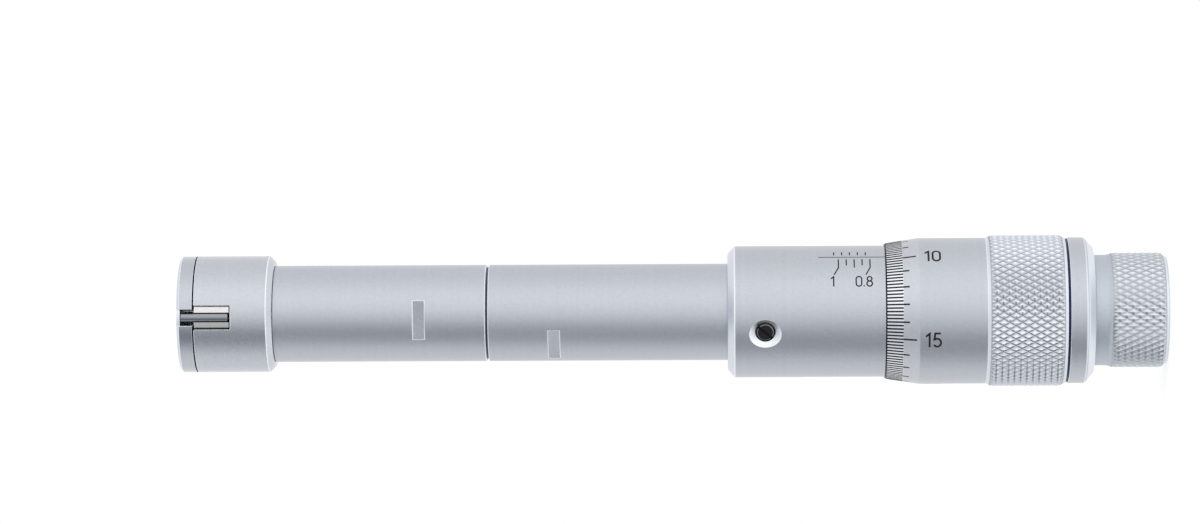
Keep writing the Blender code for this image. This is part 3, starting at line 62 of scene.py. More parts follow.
forward = (CAMERA_AIM - CAMERA_PLACE).normalized()
level = Vector((math.cos(CAMERA_ROLL), 0, -math.sin(CAMERA_ROLL)))
right = forward.cross(level).normalized()
up = right.cross(forward)
camera = bpy.data.objects.new("camera", bpy.data.cameras.new("camera"))
camera.data.lens = CAMERA_LENS
camera.matrix_world = Matrix.Translation(CAMERA_PLACE) @ Matrix((right, up, -forward)).transposed().to_4x4()
bpy.context.scene.collection.objects.link(camera)
bpy.context.scene.camera = camera
bpy.context.scene.view_settings.view_transform = "Standard"


# The studio is white all round. The metal also sees one soft light panel above the camera's side
# and one soft grey panel, a little cooler than white, below it. They give every round piece its
# light and dark bands.
PANEL_LIGHT = {
    "centre": 35 * DEGREE,
    "lean": 0.0,
    "tightness": 3.3,
    "strength": 0.30,
    "reach": 60 * DEGREE,
}
PANEL_GREY = {
    "centre": -52.5 * DEGREE,
    "lean": 1.5,
    "tightness": 6.6,
    "strength": -0.74,
    "reach": 17 * DEGREE,
}
GREY_TINT = (0.94, 0.985, 1.05, 1)
LAMP_POWER = 3.0
LAMP_SIZE = 0.7
LAMP_PLACE = Vector((0.75, -0.85, 0.95))
FROM_BELOW = 0.25
FLOOR_RADIUS = 4.0
FLOOR_STEPS = 96
FLOOR_GLOW = 0.68
FLOOR_COLOUR = (0.36, 0.36, 0.36, 1)


def put(tree, kind, inputs=None, **settings):
    """Adds a shader or geometry node, with values or links for its inputs."""
    node = tree.nodes.new(kind)
    for name, value in settings.items():
        setattr(node, name, value)
    for name, value in (inputs or {}).items():
        if isinstance(value, bpy.types.NodeSocket):
            tree.links.new(value, node.inputs[name])
        else:
            node.inputs[name].default_value = value
    return node


def sums(tree, operation, *values):
    """Adds a Math node and gives its result."""
    return put(tree, "ShaderNodeMath", dict(enumerate(values)), operation=operation).outputs[0]


world = bpy.data.worlds.new("studio")
bpy.context.scene.world = world
world.use_nodes = True
sky = world.node_tree
sky.nodes.clear()
looking = put(sky, "ShaderNodeTexCoord").outputs["Generated"]
axes = put(sky, "ShaderNodeSeparateXYZ", {0: looking}).outputs
azimuth = sums(sky, "ARCTAN2", axes["X"], sums(sky, "MULTIPLY", axes["Y"], -1.0))
rise = sums(sky, "ARCSINE", axes["Z"])
brightness = 1.0
for panel in (PANEL_LIGHT, PANEL_GREY):
    centre = sums(sky, "MULTIPLY_ADD", rise, panel["lean"], panel["centre"])
    aside = sums(sky, "COSINE", sums(sky, "SUBTRACT", azimuth, centre))
    tightness = panel["tightness"]
    falloff = sums(sky, "EXPONENT", sums(sky, "MULTIPLY_ADD", aside, tightness, -tightness))
    far = sums(sky, "POWER", sums(sky, "MULTIPLY", rise, 1 / panel["reach"]), 2.0)
    fade = sums(sky, "EXPONENT", sums(sky, "MULTIPLY", far, -1.0))
    shown = sums(sky, "MULTIPLY", falloff, fade)
    brightness = sums(sky, "MULTIPLY_ADD", shown, panel["strength"], brightness)
below = sums(sky, "MAXIMUM", sums(sky, "MULTIPLY", axes["Z"], -1.0), 0.0)
brightness = sums(sky, "MULTIPLY_ADD", below, FROM_BELOW, brightness)
seen_by_camera = put(sky, "ShaderNodeLightPath").outputs["Is Camera Ray"]
seen = put(sky, "ShaderNodeMix", {0: seen_by_camera, 2: brightness, 3: 1.0}).outputs[0]
tinted = sums(sky, "MULTIPLY", shown, sums(sky, "SUBTRACT", 1.0, seen_by_camera))
tint = put(sky, "ShaderNodeMix", {0: tinted, 6: (1, 1, 1, 1), 7: GREY_TINT}, data_type="RGBA").outputs[2]
background = put(sky, "ShaderNodeBackground", {"Color": tint, "Strength": seen})
put(sky, "ShaderNodeOutputWorld", {"Surface": background.outputs[0]})

lamp = bpy.data.objects.new("soft_lamp", bpy.data.lights.new("soft_lamp", "AREA"))
lamp.data.energy = LAMP_POWER
lamp.data.size = LAMP_SIZE
lamp.matrix_world = (
    Matrix.Translation(LAMP_PLACE) @ (LAMP_PLACE - CAMERA_AIM).to_track_quat("Z", "Y").to_matrix().to_4x4()
)
lamp.visible_glossy = False
bpy.context.scene.collection.objects.link(lamp)

floor_mesh = bpy.data.meshes.new("floor")
disc = bmesh.new()
bmesh.ops.create_circle(disc, cap_ends=True, segments=FLOOR_STEPS, radius=FLOOR_RADIUS)
disc.to_mesh(floor_mesh)
disc.free()
floor = bpy.data.objects.new("floor", floor_mesh)
bpy.context.scene.collection.objects.link(floor)
floor_paint = bpy.data.materials.new("floor_paint")
floor_paint.use_nodes = True
tree = floor_paint.node_tree
tree.nodes.clear()
path = put(tree, "ShaderNodeLightPath").outputs
direct = sums(tree, "MAXIMUM", path["Is Camera Ray"], path["Is Transmission Ray"])
shining = put(tree, "ShaderNodeEmission", {"Strength": sums(tree, "MULTIPLY", direct, FLOOR_GLOW)})
matt = put(tree, "ShaderNodeBsdfDiffuse", {"Color": FLOOR_COLOUR})
both = put(tree, "ShaderNodeAddShader", {0: shining.outputs[0], 1: matt.outputs[0]})
put(tree, "ShaderNodeOutputMaterial", {"Surface": both.outputs[0]})
floor_mesh.materials.append(floor_paint)
floor.visible_glossy = False


# The front stem: a long plain tube, turned and then plated with satin chrome, which screws into the
# head at one end and into the rear stem at the other. A spanner fits its pair of short flats.
SATIN_COLOUR = (0.50, 0.522, 0.566)
BRIGHT_COLOUR = (0.78, 0.81, 0.86)
RIM_COLOUR = (0.84, 0.865, 0.91)
CHAMFER_HIGHLIGHT_COLOUR = (0.66, 0.70, 0.76)
MILLED_COLOUR = (0.47, 0.49, 0.53)
TURNING_MARK = 0.11 * MM
TURNING_BAND = 0.8 * MM
SPECKLE = 0.42 * MM
TONE_SHARES = (0.035, 0.045, 0.15)
DULL_SHARES = (0.03, 0.06)
NOISE_MEAN = 0.5
GRAIN_HEIGHT = 0.0042 * MM
GRAIN_STRENGTH = 0.5
SPECKLE_WEIGHT = 3.0
ROUND_STEPS = 192
EDGE_EASE = 0.08
EASE_STEPS = 3
EASE_SHARE = 0.4
STRAIGHT_FROM = 170 * DEGREE
SHARP_OVER = 35 * DEGREE
STEEP_TILT = 0.3
ASIDE_LIMIT = 0.03
TINY = 1e-12
TOUCH = 0.001
OVER = 1
CUT_SLOT = 1
RIM_SLOT = 2
BRIGHT_SLOT = 3
STEM_RADIUS = 7.8
STEM_RIM = 0.2
STEM_BORE = 2.65
STEM_SPIGOT = 6.5
JOINT_SPIGOT = 5.5
JOINT_CHAMFER = 0.22
JOINT_CHAMFER_DEPTH = 0.4
JOINT_GAP = 0.05
FLAT_WIDTH = 2.1
FLAT_FROM_AXIS = 7.05
FLAT_MARGIN = 0.17
FLAT_STEP = 0.05
FLAT_HALF_LENGTH = 3.3
FRONT_FLAT = {"height": 120.58, "angle": -99.1 * DEGREE}


def ends(node):
    """A CAD node's lowest and highest station on the axis, in millimetres."""
    low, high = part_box(node)
    return low.z / MM, high.z / MM


def new_finish(name, colour, roughness, metallic=1.0, grain=1.0, groove_shade_ridge_light=None):
    """A metal or paint with fine turning marks round the axis, a faint band and a fine speckle."""
    finish = bpy.data.materials.new(name)
    finish.use_nodes = True
    tree = finish.node_tree
    shader = tree.nodes["Principled BSDF"]
    place = put(tree, "ShaderNodeTexCoord").outputs["Object"]
    height = put(tree, "ShaderNodeSeparateXYZ", {0: place}).outputs["Z"]
    flat = put(tree, "ShaderNodeVectorMath", {0: place, 1: (1, 1, 0)}, operation="MULTIPLY").outputs[0]
    from_axis = put(tree, "ShaderNodeVectorMath", {0: flat}, operation="LENGTH").outputs["Value"]
    step = sums(tree, "ADD", height, from_axis)
    marks = []
    for size in (TURNING_MARK, TURNING_BAND):
        reading = sums(tree, "MULTIPLY", step, 1 / size)
        noise = put(tree, "ShaderNodeTexNoise", {"W": reading, "Scale": 1.0}, noise_dimensions="1D")
        marks.append(sums(tree, "SUBTRACT", noise.outputs[0], NOISE_MEAN))
    noise = put(tree, "ShaderNodeTexNoise", {"Vector": place, "Scale": 1 / SPECKLE, "Detail": 1.0})
    marks.append(sums(tree, "SUBTRACT", noise.outputs[0], NOISE_MEAN))
    tone = 1.0
    for mark, share in zip(marks, TONE_SHARES):
        tone = sums(tree, "MULTIPLY_ADD", mark, share * grain, tone)
    # A knurl's grooves are painted darker as shade. Its ridges are painted lighter, partly as wear and partly
    # as a highlight.
    if groove_shade_ridge_light:
        ridge = put(tree, "ShaderNodeAttribute", attribute_name="ridge").outputs["Fac"]
        low, high = groove_shade_ridge_light
        relief_shading = put(tree, "ShaderNodeMapRange", {"Value": ridge, "To Min": low, "To Max": high}).outputs[0]
        tone = sums(tree, "MULTIPLY", tone, relief_shading)
    paint = put(tree, "ShaderNodeVectorMath", {0: colour, "Scale": tone}, operation="SCALE").outputs[0]
    tree.links.new(paint, shader.inputs["Base Color"])
    fine, _, speckle = marks
    dulled = roughness
    for mark, share in zip((fine, speckle), DULL_SHARES):
        dulled = sums(tree, "MULTIPLY_ADD", mark, share * grain, dulled)
    tree.links.new(dulled, shader.inputs["Roughness"])
    shader.inputs["Metallic"].default_value = metallic
    relief = sums(tree, "MULTIPLY_ADD", speckle, SPECKLE_WEIGHT, fine)
    grained = {"Height": relief, "Strength": GRAIN_STRENGTH, "Distance": GRAIN_HEIGHT * grain}
    bump = put(tree, "ShaderNodeBump", grained)
    tree.links.new(bump.outputs[0], shader.inputs["Normal"])
    return finish


def eased(outline, ease):
    """The outline of a turned piece with a small round on each corner, which numbers its points."""
    points = []
    for i, corner in enumerate(outline):
        here = Vector(corner)
        before = Vector(outline[i - 1]) - here
        after = Vector(outline[(i + 1) % len(outline)]) - here
        straight = before.angle(after) > STRAIGHT_FROM
        if here.x == 0 or straight:
            points.append(here)
            continue
        reach = min(ease, before.length * EASE_SHARE, after.length * EASE_SHARE)
        start = here + before.normalized() * reach
        end = here + after.normalized() * reach
        for k in range(EASE_STEPS + 1):
            share = k / EASE_STEPS
            point = start * (1 - share) ** 2 + here * 2 * share * (1 - share) + end * share**2
            points.append((*point, i))
    return [tuple(point) for point in points]


def add_piece(name, mesh, *finishes):
    """Puts a mesh in its finishes into the scene as a piece."""
    for finish in finishes:
        mesh.materials.append(finish)
    piece = bpy.data.objects.new(name, mesh)
    bpy.context.scene.collection.objects.link(piece)
    return piece


def turned(name, outline, *finishes, steps=ROUND_STEPS, closed=True, rim_from=0.0):
    """A piece of a lathe: an outline of (radius, height) in millimetres, turned round the axis.

    With a third finish, that one goes on the rounded corners farther out than rim_from.
    """
    area = sum(a[0] * b[1] - b[0] * a[1] for a, b in zip(outline, outline[1:] + outline[:1]))
    points = outline if area > 0 else outline[::-1]
    angles = np.arange(steps) * 2 * math.pi / steps
    verts, rings = [], []
    for radius, height, *_ in points:
        count = 1 if radius == 0 else steps
        rings.append(list(range(len(verts), len(verts) + count)))
        turn = angles[:count]
        ring = np.stack([radius * np.cos(turn), radius * np.sin(turn), np.full(count, height)], 1)
        verts.extend((ring * MM).tolist())
    faces, slots = [], []
    last = len(rings) if closed else len(rings) - 1
    for k in range(last):
        low, high = rings[k], rings[(k + 1) % len(rings)]
        beyond = points[(k + 1) % len(rings)]
        rounded = len(points[k]) > 2 and points[k][2:] == beyond[2:] and points[k][0] > rim_from
        for i in range(steps if len(low) + len(high) > 2 else 0):
            j = (i + 1) % steps
            face = [low[i % len(low)], low[j % len(low)], high[j % len(high)], high[i % len(high)]]
            faces.append(list(dict.fromkeys(face)))
            slots.append(RIM_SLOT if rounded and len(finishes) > RIM_SLOT else 0)
    mesh = bpy.data.meshes.new(name)
    mesh.from_pydata(verts, [], faces)
    mesh.polygons.foreach_set("material_index", slots)
    return add_piece(name, mesh, *finishes)


def cutter(*rings, slots=()):
    """A closed solid through rings of points, (out, across, height) in millimetres, to cut with."""
    mesh = bpy.data.meshes.new("cutter")
    count = len(rings[0])
    faces = [list(range(count))[::-1], [count * (len(rings) - 1) + i for i in range(count)]]
    painted = [CUT_SLOT] * 2
    for k in range(len(rings) - 1):
        for i in range(count):
            j = (i + 1) % count
            painted.append(slots[k] if slots else CUT_SLOT)
            faces.append([k * count + i, k * count + j, (k + 1) * count + j, (k + 1) * count + i])
    mesh.from_pydata([[x * MM for x in point] for ring in rings for point in ring], [], faces)
    shell = bmesh.new()
    shell.from_mesh(mesh)
    bmesh.ops.recalc_face_normals(shell, faces=shell.faces)
    shell.to_mesh(mesh)
    shell.free()
    mesh.polygons.foreach_set("material_index", painted)
    return mesh


def cut(piece, mesh, *angles, place=Matrix.Identity(4)):
    """Cuts a solid out of the piece, once at each angle round the axis."""
    for angle in angles or (0,):
        tool = bpy.data.objects.new("cutter", mesh)
        tool.matrix_world = Matrix.Rotation(angle, 4, "Z") @ place
        bpy.context.scene.collection.objects.link(tool)
        modifier = piece.modifiers.new("cut", "BOOLEAN")
        modifier.object = tool
        modifier.solver = "EXACT"
        bake(piece)
        bpy.data.objects.remove(tool)


def bake(piece):
    """Turns what the modifiers make of a piece into its plain mesh."""
    graph = bpy.context.evaluated_depsgraph_get()
    mesh = bpy.data.meshes.new_from_object(
        piece.evaluated_get(graph), preserve_all_data_layers=True, depsgraph=graph
    )
    piece.modifiers.clear()
    piece.data = mesh


def paint_all(mesh, slot):
    """Gives every face of a mesh one finish of its piece."""
    mesh.polygons.foreach_set("material_index", [slot] * len(mesh.polygons))


def paint_faces(piece, slot, low, high, tilt=STEEP_TILT, over=(0,)):
    """Gives the sloping or end faces between two heights another finish of the piece."""
    for face in piece.data.polygons:
        steep = abs(face.normal.z) > tilt
        if steep and low * MM < face.center.z < high * MM and face.material_index in over:
            face.material_index = slot


def read(items, name, kind, width=1):
    """One attribute of a mesh's faces, corners or points, as an array."""
    values = np.zeros(len(items) * width, kind)
    items.foreach_get(name, values)
    return values.reshape(-1, width) if width > 1 else values


def shade(piece, sharp=SHARP_OVER, flat_slots=()):
    """Shades turned faces as true rounds, and cut ones by the angle between them."""
    mesh = piece.data
    cut_flat = np.isin(read(mesh.polygons, "material_index", np.int32), flat_slots)
    mesh.polygons.foreach_set("use_smooth", ~cut_flat)
    mesh.set_sharp_from_angle(angle=sharp)
    corners = read(mesh.corner_normals, "vector", np.float32, 3)
    normals = read(mesh.polygons, "normal", np.float32, 3)
    centres = read(mesh.polygons, "center", np.float32, 3)
    totals = read(mesh.polygons, "loop_total", np.int32)
    points = read(mesh.vertices, "co", np.float32, 3)
    at = read(mesh.loops, "vertex_index", np.int32)
    aside = normals[:, 0] * centres[:, 1] - normals[:, 1] * centres[:, 0]
    turned_face = abs(aside) < ASIDE_LIMIT * np.hypot(centres[:, 0], centres[:, 1])
    turned_face &= ~cut_flat
    outward = np.hypot(normals[:, 0], normals[:, 1])
    outward *= np.sign((normals[:, :2] * centres[:, :2]).sum(1) + TINY)
    face = np.repeat(np.arange(len(totals)), totals)
    angle = np.arctan2(points[at, 1], points[at, 0])
    on_axis = np.hypot(points[at, 0], points[at, 1]) < TOUCH * MM
    angle[on_axis] = np.arctan2(centres[face, 1], centres[face, 0])[on_axis]
    true = np.stack([outward[face] * np.cos(angle), outward[face] * np.sin(angle), normals[face, 2]], 1)
    corners[turned_face[face]] = true[turned_face[face]]
    mesh.normals_split_custom_set(corners.tolist())


def box_rings(out, across, height):
    """Two square rings for a box cutter, from three (least, most) pairs."""
    return [[(x, across[i], height[j]) for i, j in ((0, 0), (1, 0), (1, 1), (0, 1))] for x in out]


def finished(piece, body, slot, *nodes, **shading):
    """Shades a finished piece, lets it ride on its body and stand for its CAD nodes."""
    shade(piece, **shading)
    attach(piece, body)
    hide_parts(*nodes)


satin = new_finish("satin_chrome_looks", SATIN_COLOUR, 0.32)
# Cut faces of slots and holes are bright cut; on the thimble's bevel this colour is a painted highlight.
bright = new_finish("bright_cut_and_highlight_looks", BRIGHT_COLOUR, 0.24, grain=0.5)
# Rounded corners and narrow margins are worn, and painted lighter as a highlight.
rim = new_finish("worn_rim_highlight_looks", RIM_COLOUR, 0.5, grain=0.3)
# Chamfers and some rounded corners are painted lighter as a highlight, for the bright light they reflect.
chamfer_highlight = new_finish("chamfer_highlight_looks", CHAMFER_HIGHLIGHT_COLOUR, 0.30, grain=0.4)
milled = new_finish("milled_flat_looks", MILLED_COLOUR, 0.20, grain=1.2)
turned_finishes = (satin, bright, rim, chamfer_highlight)

joint = ends("rear_stem")[1]
head_foot, head_face = ends("head_body")
front_low, front_high = ends("front_stem")
stem_outline = [
    (STEM_BORE, front_high),
    (STEM_SPIGOT, front_high),
    (STEM_SPIGOT, head_foot - JOINT_GAP),
    (STEM_RADIUS, head_foot - JOINT_GAP),
    (STEM_RADIUS, joint + JOINT_GAP + JOINT_CHAMFER),
    (STEM_RADIUS - JOINT_CHAMFER_DEPTH, joint + JOINT_GAP),
    (JOINT_SPIGOT, joint + JOINT_GAP),
    (JOINT_SPIGOT, front_low),
    (STEM_BORE, front_low),
]
stem_finishes = (rim, rim, milled)
front_stem = turned(
    "front_stem_looks",
    eased(stem_outline, EDGE_EASE),
    satin,
    *stem_finishes,
    rim_from=STEM_RADIUS - STEM_RIM,
)


def cut_flats(stem, height, angle):
    """Mills the pair of short spanner flats across a stem, each with a narrow margin, worn and painted bright
    as a highlight.
    """
    half = FLAT_WIDTH / 2
    outer = (FLAT_FROM_AXIS + FLAT_STEP, half, STEM_RADIUS, CUT_SLOT)
    inner = (FLAT_FROM_AXIS, half - FLAT_MARGIN, FLAT_HALF_LENGTH - FLAT_MARGIN, BRIGHT_SLOT)
    for floor, high, across, slot in (outer, inner):
        rings = box_rings((floor, STEM_RADIUS + OVER), (-across, across), (height - high, height + high))
        tool = cutter(*rings)
        paint_all(tool, slot)
        cut(stem, tool, angle, angle + math.pi)


cut_flats(front_stem, **FRONT_FLAT)
finished(front_stem, "frame", "satin_chrome", "front_stem", flat_slots=(CUT_SLOT, BRIGHT_SLOT))


# The rear stem: the same tube again, with the socket for the front stem and its own pair of flats
# turned a little further round. Its lower end is sunk in the inner sleeve.
REAR_FLAT = {"height": 98.83, "angle": -136 * DEGREE}
CHAMBER_RADIUS = 4.9
CHAMBER_TOP = 78.73
JOINT_SOCKET = 5.55
SOCKET_FLOOR = 101.38
FLANGE = 3.0

sleeve_low, sleeve_high = ends("sleeve")
rear_low = ends("rear_stem")[0]
stem_outline = [
    (JOINT_SOCKET, joint),
    (STEM_RADIUS - JOINT_CHAMFER_DEPTH, joint),
    (STEM_RADIUS, joint - JOINT_CHAMFER),
    (STEM_RADIUS, sleeve_high - FLANGE),
    (STEM_SPIGOT, sleeve_high - FLANGE),
    (STEM_SPIGOT, rear_low),
    (CHAMBER_RADIUS, rear_low),
    (CHAMBER_RADIUS, CHAMBER_TOP),
    (STEM_BORE, CHAMBER_TOP),
    (STEM_BORE, SOCKET_FLOOR),
    (JOINT_SOCKET, SOCKET_FLOOR),
]
duller = new_finish("rear_satin_looks", SATIN_COLOUR, 0.35)
rear_stem = turned(
    "rear_stem_looks",
    eased(stem_outline, EDGE_EASE),
    duller,
    *stem_finishes,
    rim_from=STEM_RADIUS - STEM_RIM,
)
cut_flats(rear_stem, **REAR_FLAT)
finished(rear_stem, "frame", "satin_chrome", "rear_stem", flat_slots=(CUT_SLOT, BRIGHT_SLOT))


# The measuring head: a short, thick turned body in satin chrome with three milled slots for the
# anvils. The slots' eased edges and the outer rims are worn, and painted bright as a highlight; the
# slots' walls are painted dark as shade.
HEAD_COLOUR = (0.52, 0.543, 0.588)
PAINTED_SHADE_COLOUR = (0.03, 0.03, 0.035)
HEAD_RADIUS = 9.4
HEAD_BORE = 5.87
HEAD_SOCKET = 6.55
HEAD_SPIGOT = 2.5
HEAD_CHAMFER = 0.9
HEAD_EASE = 0.1
HEAD_RIM = 0.3
HEAD_SLOT_FROM = 1.0
HEAD_SLOT_HALF = 1.92
HEAD_SLOT_LENGTH = 5.85
SLOT_CORNER = 0.2
SLOT_CORNER_STEPS = 4
SLOT_FLARE_FROM = 9.1
SLOT_FLARE = 1.5
FIRST_ANVIL = -93.5 * DEGREE
ANVIL_COUNT = 3
ANVIL_STEP = 120 * DEGREE

anvil_angles = [FIRST_ANVIL + i * ANVIL_STEP for i in range(ANVIL_COUNT)]
head_outline = [
    (HEAD_BORE, head_face),
    (HEAD_RADIUS, head_face),
    (HEAD_RADIUS, head_foot + HEAD_CHAMFER),
    (HEAD_RADIUS - HEAD_CHAMFER, head_foot),
    (HEAD_SOCKET, head_foot),
    (HEAD_SOCKET, head_foot + HEAD_SPIGOT + JOINT_GAP),
    (HEAD_BORE, head_foot + HEAD_SPIGOT + JOINT_GAP),
]
head_satin = new_finish("head_satin_looks", HEAD_COLOUR, 0.235)
painted_shade = new_finish("painted_shade_looks", PAINTED_SHADE_COLOUR, 0.5)
head = turned(
    "head_body_looks",
    eased(head_outline, HEAD_EASE),
    head_satin,
    painted_shade,
    rim,
    chamfer_highlight,
    rim_from=HEAD_RADIUS - HEAD_RIM,
)


def slot_ring(out, spread):
    """The slot's outline at a distance from the axis, spread a little on all its sides."""
    half = HEAD_SLOT_HALF + spread
    floor = head_face - HEAD_SLOT_LENGTH - spread
    side = []
    for k in range(SLOT_CORNER_STEPS + 1):
        turn = k * math.pi / 2 / SLOT_CORNER_STEPS
        across = half + SLOT_CORNER * (1 - math.cos(turn))
        side.append((across, head_face - SLOT_CORNER * (1 - math.sin(turn))))
    side.append((half + SLOT_CORNER, head_face + OVER))
    ring = [(out, half, floor)]
    ring += [(out, across, height) for across, height in side]
    ring += [(out, -across, height) for across, height in reversed(side)]
    return ring + [(out, -half, floor)]


# The slots' walls are painted dark as shade. Their flared mouths are worn, and painted bright as a highlight.
head_slot = cutter(
    slot_ring(HEAD_SLOT_FROM, 0),
    slot_ring(SLOT_FLARE_FROM, 0),
    slot_ring(SLOT_FLARE_FROM + SLOT_FLARE, SLOT_FLARE),
    slots=(CUT_SLOT, RIM_SLOT),
)
cut(head, head_slot, *anvil_angles)
finished(head, "frame", "satin_chrome", "head_body")


# The head's cap: a thin turned plate that closes the slots in front. Each of its own slots leaves
# only the anvil's carbide ridge through, and a low lip stands in front of the ridge.
CAP_SLOT_HALF = 1.325
CAP_LIP_RADIUS = 8.75
CAP_WALL = 0.55
CAP_FRONT_CHAMFER = 0.4
CAP_REAR_CHAMFER = 0.11
CAP_COLOUR = (0.485, 0.505, 0.55)
CAP_FLARE_SETBACK = 0.08
CAP_FLARE_STEP = 0.01
FINE_EASE = 0.05
SHADE_SLOT = 4
TURNED_SLOTS = (0, RIM_SLOT)
CAP_SHADE_TILT = 0.2
PAINT_MARGIN = 0.03
CAP_SCREW_CIRCLE = 7.3
CAP_SCREW_RADIUS = 1.3
CAP_SCREW_SHANK = 0.75
CAP_SCREW_LENGTH = 6.0
CAP_SCREW_FIT = 0.06
CIRCLE_STEPS = 48

cap_low, cap_high = ends("front_cap")
cap_outline = [
    (0, cap_high),
    (HEAD_RADIUS - CAP_FRONT_CHAMFER, cap_high),
    (HEAD_RADIUS, cap_high - CAP_FRONT_CHAMFER),
    (HEAD_RADIUS, cap_low + CAP_REAR_CHAMFER),
    (HEAD_RADIUS - CAP_REAR_CHAMFER, cap_low),
    (HEAD_BORE, cap_low),
    (HEAD_BORE, cap_high - CAP_WALL),
    (0, cap_high - CAP_WALL),
]
cap_satin = new_finish("cap_satin_looks", CAP_COLOUR, 0.13, grain=0.7)
cap = turned("front_cap_looks", eased(cap_outline, FINE_EASE), cap_satin, bright, rim, chamfer_highlight, painted_shade)
# The rear chamfer is painted dark as shade, giving a dark line at the joint with the head.
shaded_to = cap_low + CAP_REAR_CHAMFER + PAINT_MARGIN
paint_faces(cap, SHADE_SLOT, cap_low, shaded_to, CAP_SHADE_TILT, TURNED_SLOTS)
# The front chamfer is painted light as a highlight.
paint_faces(cap, BRIGHT_SLOT, cap_high - CAP_FRONT_CHAMFER, cap_high - PAINT_MARGIN)
cap_floor = cap_high - CAP_WALL
beyond = HEAD_RADIUS + 2 * OVER
slot_side = [
    (HEAD_BORE - OVER, cap_low - OVER),
    (beyond, cap_low - OVER),
    (beyond, cap_high + OVER),
    (CAP_LIP_RADIUS, cap_high + OVER),
    (CAP_LIP_RADIUS, cap_floor),
    (HEAD_BORE - OVER, cap_floor),
]
cap_slot = cutter(*[[(x, side, z) for x, z in slot_side] for side in (-CAP_SLOT_HALF, CAP_SLOT_HALF)])
cut(cap, cap_slot, *anvil_angles)
flare_floor = SLOT_FLARE_FROM + CAP_FLARE_SETBACK
flare_from = flare_floor + CAP_FLARE_STEP
flare_half = CAP_SLOT_HALF - CAP_FLARE_STEP
flare = [
    (flare_floor, flare_half),
    (flare_from, flare_half),
    (flare_from + SLOT_FLARE, CAP_SLOT_HALF + SLOT_FLARE),
    (flare_floor + SLOT_FLARE, -CAP_SLOT_HALF - SLOT_FLARE),
    (flare_from, -flare_half),
    (flare_floor, -flare_half),
]
flare_rings = [[(x, y, z) for x, y in flare] for z in (cap_low - OVER, cap_high + OVER)]
cut(cap, cutter(*flare_rings, slots=(RIM_SLOT,)), *anvil_angles)


def circle(radius, height):
    """A ring of points across the axis, for a round hole or a countersink."""
    turns = [2 * math.pi * i / CIRCLE_STEPS for i in range(CIRCLE_STEPS)]
    return [(radius * math.cos(t), radius * math.sin(t), height) for t in turns]


screw_angles = [angle + ANVIL_STEP / 2 for angle in anvil_angles]
countersink = CAP_SCREW_RADIUS - CAP_SCREW_SHANK
screw_hole = cutter(
    circle(CAP_SCREW_SHANK + CAP_SCREW_FIT, -CAP_SCREW_LENGTH),
    circle(CAP_SCREW_SHANK + CAP_SCREW_FIT, -countersink),
    circle(CAP_SCREW_RADIUS + CAP_SCREW_FIT, 0),
    circle(CAP_SCREW_RADIUS + CAP_SCREW_FIT, OVER),
)
on_circle = Matrix.Translation((CAP_SCREW_CIRCLE * MM, 0, cap_high * MM))
cut(cap, screw_hole, *screw_angles, place=on_circle)
finished(cap, "frame", "satin_chrome", "front_cap")


# The cap's three screws: small slotted countersunk screws of ground steel, all alike, flush with
# the face. One screw is modelled and repeated round the axis.
CAP_SCREW_EDGE = 0.05
CAP_SCREW_SLOT = 0.4
CAP_SCREW_SLOT_DEPTH = 0.35
CAP_SCREW_SLOT_REACH = 2


def new_tree(name, **inputs):
    """A Geometry Nodes tree with named inputs, given as name=kind, and its input sockets."""
    tree = bpy.data.node_groups.new(name, "GeometryNodeTree")
    tree.interface.new_socket("Geometry", in_out="OUTPUT", socket_type="NodeSocketGeometry")
    tree.interface.new_socket("Geometry", in_out="INPUT", socket_type="NodeSocketGeometry")
    for label, kind in inputs.items():
        tree.interface.new_socket(label, in_out="INPUT", socket_type="NodeSocket" + kind)
    return tree, tree.nodes.new("NodeGroupInput").outputs


def end_tree(tree, geometry, finish):
    """Ends a tree with plain geometry in its finish."""
    plain = put(tree, "GeometryNodeRealizeInstances", {0: geometry}).outputs[0]
    painted = put(tree, "GeometryNodeSetMaterial", {0: plain, "Material": finish}).outputs[0]
    put(tree, "NodeGroupOutput", {0: painted})


def grow(name, mesh, tree, **values):
    """Runs a tree on a mesh with its values, and keeps the result as a plain piece."""
    piece = add_piece(name, mesh)
    modifier = piece.modifiers.new("grow", "NODES")
    modifier.node_group = tree
    for socket in tree.interface.items_tree:
        if socket.name in values:
            modifier[socket.identifier] = values[socket.name]
    bake(piece)
    piece.data.materials.clear()
    piece.data.materials.append(values["Finish"])
    paint_all(piece.data, 0)
    return piece


def cut_slot(screw, reach, width, low, high, turn=0.0):
    """Saws the driver's slot across a screw, as far out as reach and between two heights."""
    cut(screw, cutter(*box_rings((-reach, reach), (-width / 2, width / 2), (low, high))), turn)


repeat, given = new_tree("repeat_round_axis", Count="Int", Step="Float", Finish="Material")
points = put(repeat, "GeometryNodePoints", {"Count": given["Count"]}).outputs[0]
copies = put(repeat, "GeometryNodeInstanceOnPoints", {"Points": points, "Instance": given["Geometry"]})
number = put(repeat, "GeometryNodeInputIndex").outputs[0]
turn = put(repeat, "ShaderNodeCombineXYZ", {"Z": sums(repeat, "MULTIPLY", number, given["Step"])})
spun = put(
    repeat,
    "GeometryNodeRotateInstances",
    {"Instances": copies.outputs[0], "Rotation": turn.outputs[0], "Local Space": False},
)
end_tree(repeat, spun.outputs[0], given["Finish"])

